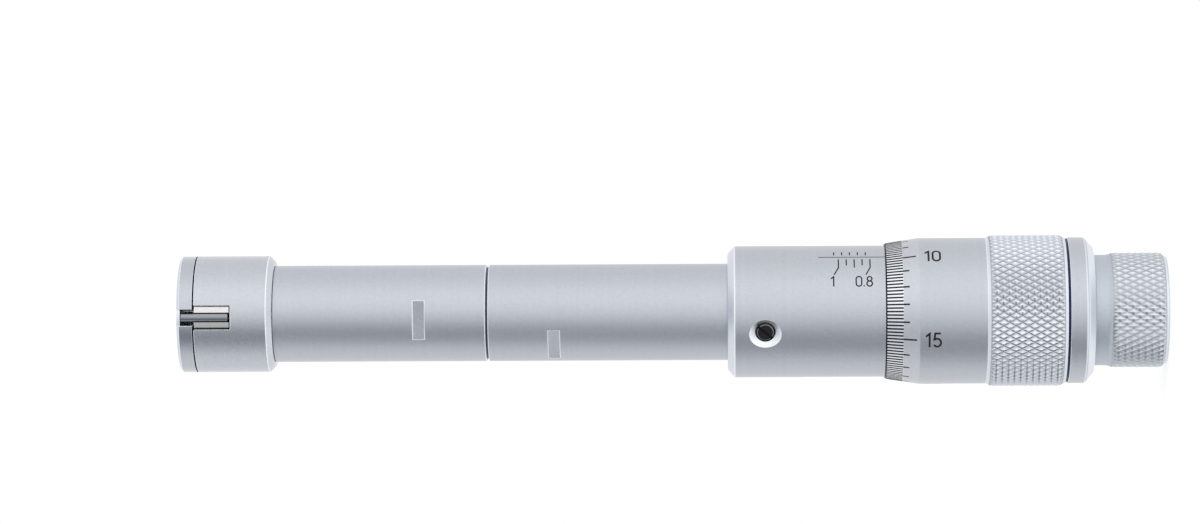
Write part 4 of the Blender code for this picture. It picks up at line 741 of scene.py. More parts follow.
ground = new_finish("ground_steel_looks", (0.58, 0.585, 0.59), 0.22, grain=0.8)
screw_outline = [
    (0, 0),
    (CAP_SCREW_RADIUS - CAP_SCREW_EDGE, 0),
    (CAP_SCREW_SHANK, -countersink),
    (CAP_SCREW_SHANK, -CAP_SCREW_LENGTH),
    (0, -CAP_SCREW_LENGTH),
]
screw = turned("cap_screw", eased(screw_outline, FINE_EASE), ground, ground, steps=CIRCLE_STEPS)
cut_slot(screw, CAP_SCREW_SLOT_REACH, CAP_SCREW_SLOT, -CAP_SCREW_SLOT_DEPTH, CAP_SCREW_SLOT_DEPTH)
shade(screw)
screw.data.transform(Matrix.Rotation(screw_angles[0], 4, "Z") @ on_circle)
cap_screws = grow(
    "cap_screws_looks", screw.data, repeat, Count=ANVIL_COUNT, Step=ANVIL_STEP, Finish=ground
)
bpy.data.objects.remove(screw)
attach(cap_screws, "frame")
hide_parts("cap_screw_1", "cap_screw_2", "cap_screw_3")


# The anvils: hardened steel blocks that slide out of the slots, each with a thin blade under the
# cap and a brazed ridge of carbide, ground round, that touches the bore. A ramp at the foot rides
# on the cone.
ANVIL_FOOT = 5.2
ANVIL_HALF = 1.8
ANVIL_SHOULDER = 8.55
ANVIL_SLOPE = 10 * DEGREE
BLADE_HALF = 0.705
ANVIL_GAP = 0.15
TIP_FOOT = 8.21
TIP_CROWN = 0.9
TIP_FLANK = 0.56
TIP_PEAK = 9.012
TIP_GAP = 0.08
TIP_SETBACK = 0.2
CONE_SLOPE = 0.5
RAMP_INSIDE = 2
RAMP_HALF = 3
RAMP_FROM_BORE = 0.05
RAMP_OVER = 0.2
CUT_REACH = 12
POCKET_DEPTH = 2
BLADE_EASE = 0.03
TIP_EASE = 0.04
EASE_OVER = 40 * DEGREE
ANVIL_SHARP_OVER = 20 * DEGREE

carbide = new_finish("carbide_looks", (0.29, 0.30, 0.33), 0.12, grain=0.3)
anvil_steel = new_finish("anvil_steel_looks", (0.71, 0.70, 0.68), 0.17, grain=0.7)
anvil_low = head_face - HEAD_SLOT_LENGTH + ANVIL_GAP
block_high = head_face - JOINT_GAP / 2
blade_high = cap_high - CAP_WALL - ANVIL_GAP
tip_low = anvil_low + TIP_SETBACK
blade_sides = (-BLADE_HALF - TIP_GAP, BLADE_HALF + TIP_GAP)


def crowned(half, peak, crown, steps=12):
    """Points over a crowned top, from one side to the other, as (out, across)."""
    across = [half * (2 * i / steps - 1) for i in range(steps + 1)]
    return [(peak - crown + math.sqrt(crown**2 - y**2), y) for y in across]


def block(name, outline, low, high, ease, *finishes):
    """A straight block from an outline of (out, across), with its long edges eased."""
    mesh = cutter(*[[(x, y, z) for x, y in outline] for z in (low, high)])
    paint_all(mesh, 0)
    piece = add_piece(name, mesh, *finishes)
    modifier = piece.modifiers.new("ease", "BEVEL")
    modifier.width = ease * MM
    modifier.segments = 2
    modifier.limit_method = "ANGLE"
    modifier.angle_limit = EASE_OVER
    bake(piece)
    return piece


def smooth_all(mesh, sharp):
    """Shades a mesh smooth but for edges sharper than an angle."""
    mesh.polygons.foreach_set("use_smooth", [True] * len(mesh.polygons))
    mesh.set_sharp_from_angle(angle=sharp)


def make_anvil(name):
    """One anvil that faces along x: block with low sloping shoulders, groove, blade and ramp."""
    fallen = ANVIL_SHOULDER - (ANVIL_HALF - BLADE_HALF) * math.tan(ANVIL_SLOPE)
    block_outline = [
        (ANVIL_FOOT, -ANVIL_HALF),
        (fallen, -ANVIL_HALF),
        (ANVIL_SHOULDER, -BLADE_HALF),
        (ANVIL_SHOULDER, BLADE_HALF),
        (fallen, ANVIL_HALF),
        (ANVIL_FOOT, ANVIL_HALF),
    ]
    anvil = block(name, block_outline, anvil_low, block_high, FINE_EASE, anvil_steel, painted_shade)
    # The groove's and the pocket's cut faces are painted dark as shade.
    groove = (TIP_FOOT - TIP_GAP, CUT_REACH)
    cut(anvil, cutter(*box_rings(groove, blade_sides, (anvil_low - OVER, cap_high + OVER))))
    pocket = (TIP_FOOT - POCKET_DEPTH, CUT_REACH)
    cut(anvil, cutter(*box_rings(pocket, blade_sides, (anvil_low - OVER, tip_low))))
    blade_outline = [
        (ANVIL_FOOT, -BLADE_HALF),
        (TIP_FOOT - TIP_GAP, -BLADE_HALF),
        (TIP_FOOT - TIP_GAP, BLADE_HALF),
        (ANVIL_FOOT, BLADE_HALF),
    ]
    blade = block("blade", blade_outline, block_high - OVER, blade_high, BLADE_EASE, anvil_steel)
    modifier = anvil.modifiers.new("join", "BOOLEAN")
    modifier.object = blade
    modifier.operation = "UNION"
    bake(anvil)
    bpy.data.objects.remove(blade)
    low, high = anvil_low - OVER, blade_high + RAMP_OVER
    ramp_foot = HEAD_BORE + RAMP_FROM_BORE
    ramp_head = ramp_foot - CONE_SLOPE * (high - low)
    ramp = [(RAMP_INSIDE, low), (ramp_foot, low), (ramp_head, high), (RAMP_INSIDE, high)]
    cut(anvil, cutter(*[[(x, y, z) for x, z in ramp] for y in (-RAMP_HALF, RAMP_HALF)]))
    return anvil


def make_tip(name):
    """One carbide ridge that faces along x, crowned across, with its flanks painted dark as shade."""
    crown = crowned(BLADE_HALF, TIP_PEAK, TIP_CROWN)
    outline = [(TIP_FOOT, -BLADE_HALF), *crown, (TIP_FOOT, BLADE_HALF)]
    tip = block(name, outline, tip_low, blade_high, TIP_EASE, carbide, painted_shade)
    for face in tip.data.polygons:
        if abs(face.center.y) > TIP_FLANK * MM:
            face.material_index = CUT_SLOT
    return tip


for i, angle in enumerate(anvil_angles):
    anvil = make_anvil(f"anvil_{i + 1}_looks")
    tip = make_tip(f"anvil_tip_{i + 1}_looks")
    for piece, slot_name, node in ((anvil, "ground_steel", "anvil"), (tip, "carbide", "anvil_tip")):
        piece.data.transform(Matrix.Rotation(angle, 4, "Z"))
        smooth_all(piece.data, ANVIL_SHARP_OVER)
        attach(piece, f"anvil_{i + 1}")
        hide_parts(f"{node}_{i + 1}")


# The sleeve: a thin turned tube in satin chrome that carries the scale, locked on the stem by a
# set screw in a countersunk hole. The scale is engraved and filled with dark paint.
SLEEVE_RADIUS = 10.62
SLEEVE_BORE = 9.05
SLEEVE_CHAMFER = 1.3
SLEEVE_CHAMFER_LENGTH = 1.1
SLEEVE_RIM = 0.4
BROAD_EASE = 0.15
SCREW_HEIGHT = 64.78
SCREW_ANGLE = -110.2 * DEGREE
SCREW_HOLE = 1.6
SINK_RADIUS = 2.6
SINK_OVER = 0.6

sleeve_outline = [
    (STEM_RADIUS + JOINT_GAP, sleeve_high),
    (SLEEVE_RADIUS - SLEEVE_CHAMFER, sleeve_high),
    (SLEEVE_RADIUS, sleeve_high - SLEEVE_CHAMFER_LENGTH),
    (SLEEVE_RADIUS, sleeve_low),
    (SLEEVE_BORE, sleeve_low),
    (SLEEVE_BORE, sleeve_high - FLANGE),
    (STEM_RADIUS + JOINT_GAP, sleeve_high - FLANGE),
]
sleeve = turned(
    "sleeve_looks",
    eased(sleeve_outline, BROAD_EASE),
    *turned_finishes,
    rim_from=SLEEVE_RADIUS - SLEEVE_RIM,
)
# The front chamfer is painted light as a highlight.
paint_faces(sleeve, BRIGHT_SLOT, sleeve_high - SLEEVE_CHAMFER_LENGTH, sleeve_high + PAINT_MARGIN)
screw_sink = cutter(
    circle(SCREW_HOLE, SLEEVE_BORE - OVER),
    circle(SCREW_HOLE, SLEEVE_RADIUS - (SINK_RADIUS - SCREW_HOLE)),
    circle(SINK_RADIUS + SINK_OVER, SLEEVE_RADIUS + SINK_OVER),
)
facing_out = Matrix.Rotation(math.pi / 2, 4, "Y")
to_screw = Matrix.Translation((0, 0, SCREW_HEIGHT * MM)) @ Matrix.Rotation(SCREW_ANGLE, 4, "Z") @ facing_out
cut(sleeve, screw_sink, place=to_screw)
finished(sleeve, "frame", "satin_chrome", "sleeve")

INK_SHINE = 0.25
INK_PROUD = 0.012
INK_DEPTH = 0.03
MITRE_LIMIT = 0.5
ink = new_finish("scale_paint_looks", (0.014, 0.011, 0.013), 0.55, metallic=0.0, grain=1.5)
ink.node_tree.nodes["Principled BSDF"].inputs["Specular IOR Level"].default_value = INK_SHINE
FRONT = -90 * DEGREE
LINE_STEP = 0.2
SLEEVE_LINE_ANGLE = 54.9 * DEGREE
SLEEVE_LINE_TOP = 56.2
SLEEVE_LINE_WIDTH = 0.14
SLEEVE_LINE_UNDER = 1.0
SLEEVE_SCALE = {"first": 53.0, "step": 1.27, "count": 5}
SCALE_WIDTH = 0.2
SCALE_DROP = 3.2 * DEGREE
SCALE_SHORT = 7.7 * DEGREE
SCALE_MIDDLE = 10.4 * DEGREE
SCALE_BEND = 41.3 * DEGREE
SCALE_LONG = 33.5 * DEGREE
SCALE_LEAN = 0.7
DOT_SHIFT = 0.7
DOT_FROM = 58.0 * DEGREE
DOT_TO = 63.3 * DEGREE
NUMBER_FOOT = 21.9 * DEGREE
NUMBER_HEIGHT = 1.84
NUMBER_WIDTH = 0.22
SLEEVE_NUMBERS = (("1", 54.28), ("0.8", 50.26))


def arc(centre_x, centre_y, radius_x, radius_y, start, end, steps=12):
    """Points on part of an ellipse, for the bow of a numeral."""
    turns = [(start + (end - start) * i / steps) * DEGREE for i in range(steps + 1)]
    return [(centre_x + radius_x * math.cos(t), centre_y + radius_y * math.sin(t)) for t in turns]


# Each numeral: its advance, then its strokes, as shares of its height. A stroke that ends where it
# starts is a closed one.
NUMERALS = {
    "0": (
        0.66,
        [arc(0.27, 0.72, 0.24, 0.25, 0, 180) + arc(0.27, 0.28, 0.24, 0.25, 180, 360) + [(0.51, 0.72)]],
    ),
    "1": (0.50, [[(0.02, 0.75), (0.26, 0.97), (0.26, 0.0)]]),
    "2": (0.62, [arc(0.27, 0.71, 0.23, 0.26, 170, -35) + [(0.03, 0.03), (0.52, 0.03)]]),
    "5": (0.62, [[(0.48, 0.97), (0.12, 0.97), (0.07, 0.53)] + arc(0.26, 0.32, 0.24, 0.29, 130, -150)]),
    "8": (0.66, [arc(0.27, 0.745, 0.20, 0.225, 90, 450, 20), arc(0.27, 0.275, 0.24, 0.25, 90, 450, 20)]),
    ".": (0.27, [[(0.06, 0.0), (0.06, 0.12)]]),
}


def draw(shell, stroke, width, radius):
    """Adds one filled line to a mesh: a thin strip along (height, arc) points on a round surface."""
    closed = math.dist(stroke[0], stroke[-1]) < TOUCH
    points = []
    for start, end in zip(stroke, stroke[1:]):
        parts = max(1, math.ceil(math.dist(start, end) / LINE_STEP))
        points += [Vector(start).lerp(Vector(end), k / parts) for k in range(parts)]
    if not closed:
        points.append(Vector(stroke[-1]))
    count = len(points)
    rings = []
    for i, point in enumerate(points):
        before = points[i - 1] if closed or i else point
        after = points[(i + 1) % count] if closed or i < count - 1 else point
        way = (after - before).normalized()
        bend = 1.0
        if before is not point and after is not point:
            bend = max(MITRE_LIMIT, math.cos((point - before).angle(after - point) / 2))
        side = Vector((-way.y, way.x)) * width / 2 / bend
        ring = []
        for spot, out in ((point + side, 1), (point - side, 1), (point - side, 0), (point + side, 0)):
            reach = radius + (INK_PROUD if out else -INK_DEPTH)
            turn = FRONT + spot.y / radius
            place = (reach * math.cos(turn) * MM, reach * math.sin(turn) * MM, spot.x * MM)
            ring.append(shell.verts.new(place))
        rings.append(ring)
    pairs = list(zip(rings, rings[1:])) + ([(rings[-1], rings[0])] if closed else [])
    for low, high in pairs:
        for k in range(4):
            shell.faces.new((low[k], low[(k + 1) % 4], high[(k + 1) % 4], high[k]))
    if not closed:
        shell.faces.new(rings[0][::-1])
        shell.faces.new(rings[-1])


def write(shell, text, start, foot, size, width, radius):
    """Writes a number round a piece, reading along the axis towards the knob."""
    for numeral in text:
        advance, strokes = NUMERALS[numeral]
        for stroke in strokes:
            draw(shell, [(start - x * size, foot + y * size) for x, y in stroke], width, radius)
        start -= advance * size


def scale_piece(name, shell, body):
    """Turns the drawn lines into one piece in dark paint."""
    bmesh.ops.recalc_face_normals(shell, faces=shell.faces)
    mesh = bpy.data.meshes.new(name)
    shell.to_mesh(mesh)
    shell.free()
    piece = add_piece(name, mesh, ink)
    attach(piece, body)
    return piece


thimble_low, thimble_high = ends("thimble")
shell = bmesh.new()
arc_at = SLEEVE_RADIUS
line_arc = SLEEVE_LINE_ANGLE * arc_at
reading_line = [(SLEEVE_LINE_TOP, line_arc), (thimble_high - SLEEVE_LINE_UNDER, line_arc)]
draw(shell, reading_line, SLEEVE_LINE_WIDTH, SLEEVE_RADIUS)
for i in range(SLEEVE_SCALE["count"]):
    height = SLEEVE_SCALE["first"] - i * SLEEVE_SCALE["step"]
    top = (height, (SLEEVE_LINE_ANGLE - SCALE_DROP) * arc_at)
    length = SCALE_MIDDLE if i == SLEEVE_SCALE["count"] // 2 else SCALE_SHORT
    stroke = [top, (height, (SLEEVE_LINE_ANGLE - SCALE_DROP - length) * arc_at)]
    if i in (0, SLEEVE_SCALE["count"] - 1):
        stroke = [top, (height, SCALE_BEND * arc_at), (height + SCALE_LEAN, SCALE_LONG * arc_at)]
    draw(shell, stroke, SCALE_WIDTH, SLEEVE_RADIUS)
    dot = height + DOT_SHIFT
    draw(shell, [(dot, DOT_FROM * arc_at), (dot, DOT_TO * arc_at)], SCALE_WIDTH, SLEEVE_RADIUS)
for text, start in SLEEVE_NUMBERS:
    write(shell, text, start, NUMBER_FOOT * arc_at, NUMBER_HEIGHT, NUMBER_WIDTH, SLEEVE_RADIUS)
sleeve_scale = scale_piece("sleeve_scale", shell, "frame")


# The set screw: a short slotted grub screw of blackened steel, a little below the sleeve's surface.
SCREW_RADIUS = 1.55
SCREW_CHAMFER = 0.25
SCREW_STEPS = 64
SCREW_FACE = 9.72
SCREW_LENGTH = 2.5
SCREW_SLOT = 0.45
SCREW_SLOT_DEPTH = 0.6
SCREW_SLOT_REACH = 3
SCREW_TILT = -40 * DEGREE

black = new_finish("black_oxide_looks", (0.025, 0.023, 0.023), 0.20, metallic=0.6, grain=1.2)
screw_outline = [
    (0, SCREW_FACE),
    (SCREW_RADIUS - SCREW_CHAMFER, SCREW_FACE),
    (SCREW_RADIUS, SCREW_FACE - SCREW_CHAMFER),
    (SCREW_RADIUS, SCREW_FACE - SCREW_LENGTH),
    (0, SCREW_FACE - SCREW_LENGTH),
]
# The screw's rounded edge is painted lighter as a highlight.
black_edge_highlight = new_finish("black_edge_highlight_looks", (0.2, 0.2, 0.2), 0.25)
set_screw = turned(
    "set_screw_looks", eased(screw_outline, EDGE_EASE), black, black, black_edge_highlight, steps=SCREW_STEPS
)
slot_floor = SCREW_FACE - SCREW_SLOT_DEPTH
cut_slot(set_screw, SCREW_SLOT_REACH, SCREW_SLOT, slot_floor, SCREW_FACE + OVER, SCREW_TILT)
shade(set_screw)
set_screw.data.transform(to_screw)
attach(set_screw, "frame")
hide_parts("set_screw")


# The thimble: one turned piece with a bevelled front for the fine scale, a knurled grip and a thin
# front edge painted dark as a shadow line. The bevel is painted light under the scale's lines and a
# little lighter beyond them as a highlight. The knurl is rolled, so its diamonds stand a little
# proud between two small chamfers, painted light as a highlight.
THIMBLE_RADIUS = 11.8
THIMBLE_BORE = 10.77
THIMBLE_EDGE = 0.16
BARREL_TOP = 40.05
GRIP_TOP = 29.18
GRIP_RADIUS = 12.3
GRIP_DEPTH = 0.34
GRIP_CHAMFER = 0.45
GRIP_TEETH = 67
GRIP_ROWS = 6
KNURL_PARTS = 6
WEB_TOP = 19.98
KNURL_SLOT = 4
EDGE_SLOT = 5
BEVEL_SLOT = 6
EDGE_HIGH = 0.2
EDGE_FLAT = 0.05
EDGE_FLARE = 0.03
THIMBLE_EASE = 0.06
THIMBLE_RIM = 1.8
EDGE_TILT = 0.18
BEVEL_TILT = 0.1
BAND_END_SHARE = 0.001
SCALE_ZONE = 2.83
BEVEL_COLOUR = (0.55, 0.572, 0.616)
COUNTERBORE = 6.05
COUNTERBORE_TOP = 17.45
SPINDLE_SMALL = 3.55
SPINDLE_LARGE = 4.05

knurl, given = new_tree(
    "diamond_knurl",
    Bottom="Float",
    Height="Float",
    Radius="Float",
    Depth="Float",
    Teeth="Int",
    Rows="Int",
    Drop="Float",
    Taper="Float",
    Finish="Material",
)
across = sums(knurl, "MULTIPLY_ADD", given["Teeth"], KNURL_PARTS, 1)
along = sums(knurl, "MULTIPLY_ADD", given["Rows"], KNURL_PARTS, 1)
sheet = put(
    knurl, "GeometryNodeMeshGrid", {"Size X": 1.0, "Size Y": 1.0, "Vertices X": along, "Vertices Y": across}
).outputs[0]
spot = put(knurl, "ShaderNodeSeparateXYZ", {0: put(knurl, "GeometryNodeInputPosition").outputs[0]}).outputs
up_share = sums(knurl, "ADD", spot["X"], 0.5)
round_share = sums(knurl, "ADD", spot["Y"], 0.5)
up_teeth = sums(knurl, "MULTIPLY", up_share, given["Rows"])
round_teeth = sums(knurl, "MULTIPLY", round_share, given["Teeth"])
slopes = []
for way in ("ADD", "SUBTRACT"):
    groove = sums(knurl, way, round_teeth, up_teeth)
    slopes.append(sums(knurl, "MULTIPLY", sums(knurl, "PINGPONG", groove, 0.5), 2.0))
ridge = sums(knurl, "MINIMUM", slopes[0], slopes[1])
inside = sums(knurl, "GREATER_THAN", sums(knurl, "PINGPONG", up_share, 0.5), BAND_END_SHARE)
ridge = sums(knurl, "MULTIPLY", ridge, inside)
reach = sums(knurl, "MULTIPLY_ADD", ridge, given["Depth"], given["Radius"])
risen = sums(knurl, "DIVIDE", sums(knurl, "MULTIPLY", up_share, given["Height"]), given["Taper"])
lacking = sums(knurl, "MAXIMUM", sums(knurl, "SUBTRACT", 1.0, risen), 0.0)
reach = sums(knurl, "SUBTRACT", reach, sums(knurl, "MULTIPLY", lacking, given["Drop"]))
turn = sums(knurl, "MULTIPLY", round_share, 2 * math.pi)
place = put(
    knurl,
    "ShaderNodeCombineXYZ",
    {
        "X": sums(knurl, "MULTIPLY", reach, sums(knurl, "COSINE", turn)),
        "Y": sums(knurl, "MULTIPLY", reach, sums(knurl, "SINE", turn)),
        "Z": sums(knurl, "MULTIPLY_ADD", up_share, given["Height"], given["Bottom"]),
    },
).outputs[0]
kept = put(
    knurl, "GeometryNodeStoreNamedAttribute", {"Geometry": sheet, "Name": "ridge", "Value": ridge}
).outputs[0]
rolled = put(knurl, "GeometryNodeSetPosition", {"Geometry": kept, "Position": place}).outputs[0]
welded = put(knurl, "GeometryNodeMergeByDistance", {"Geometry": rolled, "Distance": TOUCH * MM})
facing = put(knurl, "GeometryNodeFlipFaces", {0: welded.outputs[0]}).outputs[0]
split = put(knurl, "GeometryNodeTriangulate", {0: facing}, quad_method="SHORTEST_DIAGONAL")
end_tree(knurl, split.outputs[0], given["Finish"])


def add_knurl(piece, bottom, top, radius, depth, teeth, rows, taper, finish):
    """Grows a knurled band and welds it into the open side of a turned piece.

    Its lower end tapers by the first number of taper over a length that is the second.
    """
    band = grow(
        "knurl",
        bpy.data.meshes.new("knurl"),
        knurl,
        Bottom=bottom * MM,
        Height=(top - bottom) * MM,
        Radius=(radius - depth) * MM,
        Depth=depth * MM,
        Teeth=teeth,
        Rows=rows,
        Drop=taper[0] * MM,
        Taper=taper[1] * MM,
        Finish=finish,
    )
    shell = bmesh.new()
    shell.from_mesh(piece.data)
    turned_faces = len(shell.faces)
    shell.from_mesh(band.data)
    shell.faces.ensure_lookup_table()
    for face in shell.faces[turned_faces:]:
        face.material_index = KNURL_SLOT
    bmesh.ops.remove_doubles(shell, verts=shell.verts, dist=TOUCH * MM)
    shell.to_mesh(piece.data)
    shell.free()
    bpy.data.objects.remove(band)


def eased_open(outline, ease):
    """An eased outline whose first and last corners stay sharp, where a knurled band joins it."""
    corner = EASE_STEPS + 1
    return [outline[0], *eased(outline, ease)[corner:-corner], outline[-1]]


# The grip's knurl has painted shade in its grooves and painted highlight on its ridges.
knurl_finish = new_finish("knurl_looks", (0.635, 0.66, 0.715), 0.15, grain=0.4, groove_shade_ridge_light=(0.6, 1.38))
edge_shade = new_finish("thimble_edge_shadow_looks", (0.012, 0.014, 0.03), 0.4)
bevel_highlight = new_finish("thimble_bevel_highlight_looks", BEVEL_COLOUR, 0.35)
groove_radius = GRIP_RADIUS - GRIP_DEPTH
band_top = GRIP_TOP - GRIP_CHAMFER
band_low = thimble_low + GRIP_CHAMFER
front_radius = THIMBLE_BORE + THIMBLE_EDGE + EDGE_FLARE
zone_share = (SCALE_ZONE - EDGE_HIGH) / (thimble_high - EDGE_HIGH - BARREL_TOP)
zone_radius = front_radius + (THIMBLE_RADIUS - front_radius) * zone_share
thimble_outline = [
    (groove_radius, band_top),
    (THIMBLE_RADIUS, GRIP_TOP),
    (THIMBLE_RADIUS, BARREL_TOP),
    (zone_radius, thimble_high - SCALE_ZONE),
    (front_radius, thimble_high - EDGE_HIGH),
    (THIMBLE_BORE + EDGE_FLAT, thimble_high),
    (THIMBLE_BORE, thimble_high),
    (THIMBLE_BORE, WEB_TOP),
    (SPINDLE_LARGE, WEB_TOP),
    (SPINDLE_SMALL, COUNTERBORE_TOP),
    (COUNTERBORE, COUNTERBORE_TOP),
    (COUNTERBORE, thimble_low),
    (THIMBLE_RADIUS, thimble_low),
    (groove_radius, band_low),
]
thimble = turned(
    "thimble_looks",
    eased_open(thimble_outline, THIMBLE_EASE),
    *turned_finishes,
    knurl_finish,
    edge_shade,
    bevel_highlight,
    rim_from=THIMBLE_RADIUS - THIMBLE_RIM,
    steps=GRIP_TEETH * KNURL_PARTS,
    closed=False,
)
edge_low = thimble_high - EDGE_HIGH
zone_low = thimble_high - SCALE_ZONE
# The grip's two chamfers are painted light as a highlight.
paint_faces(thimble, BRIGHT_SLOT, band_top - PAINT_MARGIN, GRIP_TOP)
paint_faces(thimble, BRIGHT_SLOT, thimble_low + PAINT_MARGIN, band_low + PAINT_MARGIN)
# The front edge is painted dark as a shadow line.
paint_faces(thimble, EDGE_SLOT, edge_low - PAINT_MARGIN, thimble_high + PAINT_MARGIN, EDGE_TILT, TURNED_SLOTS)
# The bevel is painted light under the lines, and a little lighter beyond them, as a highlight.
paint_faces(thimble, CUT_SLOT, zone_low, edge_low, BEVEL_TILT, TURNED_SLOTS)
paint_faces(thimble, BEVEL_SLOT, BARREL_TOP - PAINT_MARGIN, zone_low, BEVEL_TILT, TURNED_SLOTS)
add_knurl(thimble, band_low, band_top, GRIP_RADIUS, GRIP_DEPTH, GRIP_TEETH, GRIP_ROWS, (0, 1), knurl_finish)
finished(thimble, "thimble", "satin_chrome", "thimble", flat_slots=(KNURL_SLOT,))


# The thimble's scale: 125 fine lines on the bevel, longer at every fifth and every twenty-fifth,
# and its numbers on the barrel, all engraved and filled with dark paint.
LINES = 125
LONGER_EVERY = 5
LONGEST_EVERY = 25
COMPARE_WITHIN = 0.1
LINE_WIDTH = 0.27
LINE_SETBACK = 0.2
LINE_SHORT = 2.63
LINE_LONGER = 3.63
LINE_LONGEST = 4.78
NUMBER_START = 39.2
THIMBLE_NUMBER_HEIGHT = 2.46
THIMBLE_NUMBER_WIDTH = 0.32
LINE_AT_TEN = 48.5 * DEGREE
TEN = 10
UNITS = 25
UNIT_TURN = 360 * DEGREE / UNITS
NUMBER_EVERY = 5

edge_radius = THIMBLE_BORE + THIMBLE_EDGE
bevel = math.atan2(THIMBLE_RADIUS - edge_radius, thimble_high - BARREL_TOP)
lines, given = new_tree(
    "scale_lines",
    Count="Int",
    Short="Float",
    Longer="Float",
    Longest="Float",
    Width="Float",
    Thick="Float",
    Radius="Float",
    Height="Float",
    Slope="Float",
    Start="Float",
    Finish="Material",
)
number = put(lines, "GeometryNodeInputIndex").outputs[0]
fifth, twenty_fifth = [
    sums(lines, "COMPARE", sums(lines, "MODULO", number, every), 0.0, COMPARE_WITHIN)
    for every in (LONGER_EVERY, LONGEST_EVERY)
]
longer = put(lines, "ShaderNodeMix", {0: fifth, 2: given["Short"], 3: given["Longer"]}).outputs[0]
longest = put(lines, "ShaderNodeMix", {0: twenty_fifth, 2: longer, 3: given["Longest"]}).outputs[0]
size = put(lines, "ShaderNodeCombineXYZ", {0: given["Thick"], 1: given["Width"], 2: longest}).outputs[0]
bar = put(lines, "GeometryNodeMeshCube", {"Size": (1, 1, 1)}).outputs[0]
bar = put(lines, "GeometryNodeTransform", {"Geometry": bar, "Translation": (0, 0, -0.5)}).outputs[0]
start = put(lines, "ShaderNodeCombineXYZ", {0: given["Radius"], 2: given["Height"]}).outputs[0]
points = put(lines, "GeometryNodePoints", {"Count": given["Count"], "Position": start}).outputs[0]
lean = put(lines, "ShaderNodeCombineXYZ", {1: sums(lines, "MULTIPLY", given["Slope"], -1.0)}).outputs[0]
bars = put(
    lines,
    "GeometryNodeInstanceOnPoints",
    {"Points": points, "Instance": bar, "Rotation": lean, "Scale": size},
).outputs[0]
step = sums(lines, "DIVIDE", -2 * math.pi, given["Count"])
turn = put(
    lines, "ShaderNodeCombineXYZ", {2: sums(lines, "MULTIPLY_ADD", number, step, given["Start"])}
).outputs[0]
spun = put(
    lines, "GeometryNodeRotateInstances", {"Instances": bars, "Rotation": turn, "Local Space": False}
).outputs[0]
end_tree(lines, spun, given["Finish"])

start_line = FRONT + LINE_AT_TEN + TEN * UNIT_TURN
thimble_scale = grow(
    "thimble_scale",
    bpy.data.meshes.new("thimble_scale"),
    lines,
    Count=LINES,
    Short=LINE_SHORT * MM,
    Longer=LINE_LONGER * MM,
    Longest=LINE_LONGEST * MM,
    Width=LINE_WIDTH * MM,
    Thick=2 * INK_PROUD * MM,
    Radius=(edge_radius + LINE_SETBACK * math.tan(bevel)) * MM,
    Height=(thimble_high - LINE_SETBACK) * MM,
    Slope=bevel,
    Start=start_line,
    Finish=ink,
)
shell = bmesh.new()
for number in range(0, UNITS, NUMBER_EVERY):
    angle = LINE_AT_TEN + (TEN - number) * UNIT_TURN
    foot = angle * THIMBLE_RADIUS - THIMBLE_NUMBER_HEIGHT / 2
    write(
        shell, str(number), NUMBER_START, foot, THIMBLE_NUMBER_HEIGHT, THIMBLE_NUMBER_WIDTH, THIMBLE_RADIUS
    )
bmesh.ops.recalc_face_normals(shell, faces=shell.faces)
shell.from_mesh(thimble_scale.data)
shell.to_mesh(thimble_scale.data)
shell.free()
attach(thimble_scale, "thimble")


# The dark ring: a thin flat washer between the grip and the rear cap, blued nearly black.
RING_RADIUS = 11.6
ring_low, ring_high = ends("spacer_ring")
navy = new_finish("dark_ring_looks", (0.004, 0.014, 0.075), 0.38, metallic=0.3)
ring_outline = [
    (COUNTERBORE, ring_high),
    (RING_RADIUS, ring_high),
    (RING_RADIUS, ring_low),
    (COUNTERBORE, ring_low),
]
ring = turned("spacer_ring_looks", eased(ring_outline, FINE_EASE), navy)
finished(ring, "thimble", "dark_ring", "spacer_ring")


# The rear cap: a turned satin ring that closes the thimble, with a broad chamfer behind, painted
# light as a highlight, and a spigot that centres it in the thimble.
CAP_CHAMFER = 1.4
CAP_CHAMFER_DEPTH = 1.6
CAP_SHOULDER = 0.3
CAP_SHOULDER_RISE = 0.1
REAR_EASE = 0.12
CAP_SPIGOT = 6.0
CAP_BORE = 3.04

rear_cap_low, spigot_high = ends("thimble_cap")
rear_cap_high = ring_low - JOINT_GAP
chamfer_high = rear_cap_low + CAP_CHAMFER
rear_outline = [
    (CAP_BORE, spigot_high),
    (CAP_SPIGOT, spigot_high),
    (CAP_SPIGOT, rear_cap_high),
    (THIMBLE_RADIUS, rear_cap_high),
    (THIMBLE_RADIUS, chamfer_high + CAP_SHOULDER_RISE),
    (THIMBLE_RADIUS - CAP_SHOULDER, chamfer_high - CAP_SHOULDER),
    (THIMBLE_RADIUS - CAP_CHAMFER_DEPTH, rear_cap_low),
    (CAP_BORE, rear_cap_low),
]
rear_cap = turned("thimble_cap_looks", eased(rear_outline, REAR_EASE), satin, bright, chamfer_highlight, chamfer_highlight)
# The chamfer is painted light as a highlight.
paint_faces(rear_cap, BRIGHT_SLOT, rear_cap_low + PAINT_MARGIN, chamfer_high - CAP_SHOULDER)
finished(rear_cap, "thimble", "satin_chrome", "thimble_cap")


# The ratchet knob: a small cup with a knurled rim, which turns on the ratchet inside it. Its flat
# end is open in the middle for the screw that holds it.
KNOB_RADIUS = 9.32
KNOB_DEPTH = 0.22
KNOB_TEETH = 51
KNOB_ROWS = 4
KNOB_BAND = (0.45, 9.1)
KNOB_TAPER = (0.33, 0.45)
KNOB_NECK = 8.95
KNOB_BEVEL_TOP = 9.65
KNOB_FLAT = 8.62
KNOB_COUNTERBORE = 4.15
KNOB_COUNTERBORE_DEPTH = 2.0
KNOB_HOLE = 2.55
KNOB_FLOOR = 4.0
KNOB_CHAMBER = 7.3
NECK_GAP = 0.03

